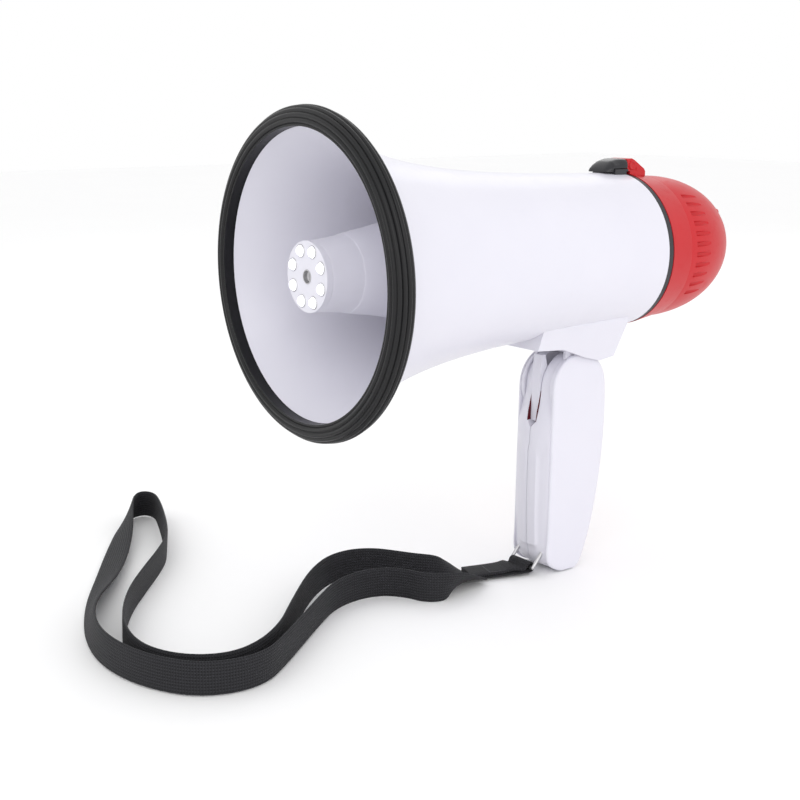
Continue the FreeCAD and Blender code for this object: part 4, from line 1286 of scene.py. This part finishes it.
@dataclass(frozen=True)
class TopCatch:
    """Glossy black catch on top of the tube: a domed wedge with scooped sides."""

    frame: HornFrame
    finishes: Finishes
    front: float = 177.4
    foot: float = 40.2
    half_width: float = 7.5

    def build(self) -> list[bpy.types.Object]:
        """Skin arched sections from the thin front tip to the blunt rear face.

        Returns:
            The catch.
        """
        rings = []
        rows = MeshKit.curve_through([
            (0.0, 0.45, 0.74), (0.7, 1.9, 0.86), (2.6, 3.8, 0.94), (5.2, 5.4, 1.0),
            (8.2, 6.3, 1.0), (11.0, 6.6, 1.0), (13.2, 6.6, 1.0), (14.6, 6.5, 0.99),
            (15.0, 6.2, 0.97)], 4)
        for along, rise, spread in rows:
            under = 0.0 if along < 5.0 else 1.75
            scoop = 1.2 * math.exp(-((along - 7.0) / 4.0) ** 2)
            half = self.half_width * spread
            side = [(half - 0.1, under), (half, under + 0.4 * (rise - under)),
                    (half - 0.35 - scoop * 0.7, under + 0.66 * (rise - under)),
                    (half - 0.9 - scoop, under + 0.84 * (rise - under)),
                    (half - 2.1 - scoop, under + 0.95 * (rise - under)),
                    (half * 0.36, rise - 0.06)]
            arch = side + [(0.0, rise)] + [(-x, z) for x, z in reversed(side)]
            arch += [(-half * 0.5, under), (0.0, under), (half * 0.5, under)]
            rings.append([self.frame.at(x, self.front + along, self.foot + z) for x, z in arch])
        piece = MeshKit.loft("top_catch", rings, 38.0)
        self.finishes.dress(piece, Slot.BLACK)
        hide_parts("latch_slide")
        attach(piece, Body.LATCH.value)
        return [piece]


@dataclass(frozen=True)
class CapEnd:
    """Red lug that slopes down behind the catch, and the black band in front of the cap."""

    frame: HornFrame
    finishes: Finishes
    half_width: float = 6.7
    boss: tuple[float, float] = (196.3, 43.2)
    boss_radius: float = 2.3
    band_radius: float = 39.25

    def lug(self) -> bpy.types.Object:
        """Extrude the lug's side view and round its edges.

        Returns:
            The lug.
        """
        side_view = [(192.9, 40.3), (192.9, 46.5), (196.2, 46.75), (198.0, 46.0), (205.6, 41.2),
                     (206.4, 39.8), (206.4, 37.4), (194.9, 37.9), (194.9, 40.3)]
        rings = [[self.frame.at(x, y, z) for y, z in side_view]
                 for x in (-self.half_width, self.half_width)]
        piece = MeshKit.loft("cap_lug", rings, 30.0)
        MeshKit.soften(piece, 0.35)
        self.finishes.dress(piece, Slot.RED)
        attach(piece, Body.CAP.value)
        return piece

    def bosses(self) -> bpy.types.Object:
        """Turn the boss through the lug, with a dished end on each side.

        Returns:
            The boss.
        """
        steps = 32
        reach = self.half_width
        levels = [(-reach - 0.1, 0.35), (-reach - 0.45, 0.62), (-reach - 0.5, 0.9),
                  (-reach - 0.3, 1.0), (reach + 0.3, 1.0), (reach + 0.5, 0.9),
                  (reach + 0.45, 0.62), (reach + 0.1, 0.35)]
        rings = []
        for x, share in levels:
            radius = self.boss_radius * share
            turns = [2 * math.pi * number / steps for number in range(steps)]
            rings.append([self.frame.at(x, self.boss[0] + radius * math.cos(turn),
                                        self.boss[1] + radius * math.sin(turn))
                          for turn in turns])
        piece = MeshKit.loft("cap_lug_boss", rings, 40.0)
        self.finishes.dress(piece, Slot.RED)
        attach(piece, Body.CAP.value)
        return piece

    def band(self) -> bpy.types.Object:
        """Turn the flat band that fills the step between the tube and the cap.

        Returns:
            The band.
        """
        radius = self.band_radius
        ring = [(190.95, radius - 1.4), (190.95, radius - 0.2), (191.15, radius),
                (194.15, radius), (194.35, radius - 0.2), (194.35, radius - 1.4)]
        piece = MeshKit.lathe("tube_end_band", self.frame, ring, 160)
        self.finishes.dress(piece, Slot.DARK)
        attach(piece, Body.HORN.value)
        return piece

    def build(self) -> list[bpy.types.Object]:
        """Build the lug, its boss and the band."""
        return [self.lug(), self.bosses(), self.band()]


@dataclass(frozen=True)
class FrameDress:
    """Materials and softened edges for the CAD nodes that show as they are."""

    finishes: Finishes
    nodes: dict[str, bpy.types.Object]
    record: dict

    ROUNDED = {"horn_shell": 0.35, "bracket": 0.45, "rear_cap": 0.45, "bayonet_ring": 0.3,
               "lamp_plate": 0.25, "trigger": 0.5, "volume_knob": 0.4, "siren_button": 0.35,
               "latch_base": 0.3, "mic_grille": 0.2, "throat_horn": 0.4}

    def build(self) -> list[bpy.types.Object]:
        """Dress every node by its slot in the record.

        Returns:
            The dressed nodes.
        """
        slots = {entry["node"]: Slot(entry["material_slot"]) for entry in self.record["subparts"]}
        for name, node in self.nodes.items():
            node.data.materials.clear()
            node.data.materials.append(self.finishes.by_slot[slots[name]])
            MeshKit.shade(node, 28.0)
            if name in self.ROUNDED:
                MeshKit.soften(node, self.ROUNDED[name])
        return list(self.nodes.values())


def main() -> None:
    """Build the whole look, one sub-assembly after the other, and report each piece."""
    logging.basicConfig(level=logging.INFO, format="%(message)s")
    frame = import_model()
    shell_low, shell_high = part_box("horn_shell")
    horn = HornFrame(front_y=shell_low.y, axis_z=(shell_low.z + shell_high.z) / 2)
    finishes = Finishes()
    Studio(horn).build()
    dress = FrameDress(finishes, frame["nodes"], frame["record"])
    for assembly in (dress, Strap(horn, finishes), RimBumper(horn, finishes),
                     ReflexCup(horn, finishes), LampFace(horn, finishes),
                     Handle(horn, finishes), TopCatch(horn, finishes),
                     CapEnd(horn, finishes)):
        for piece in assembly.build():
            REPORT.info("%s: %s, %d points", type(assembly).__name__, piece.name,
                        len(piece.data.vertices))


if __name__ == "__main__":
    main()
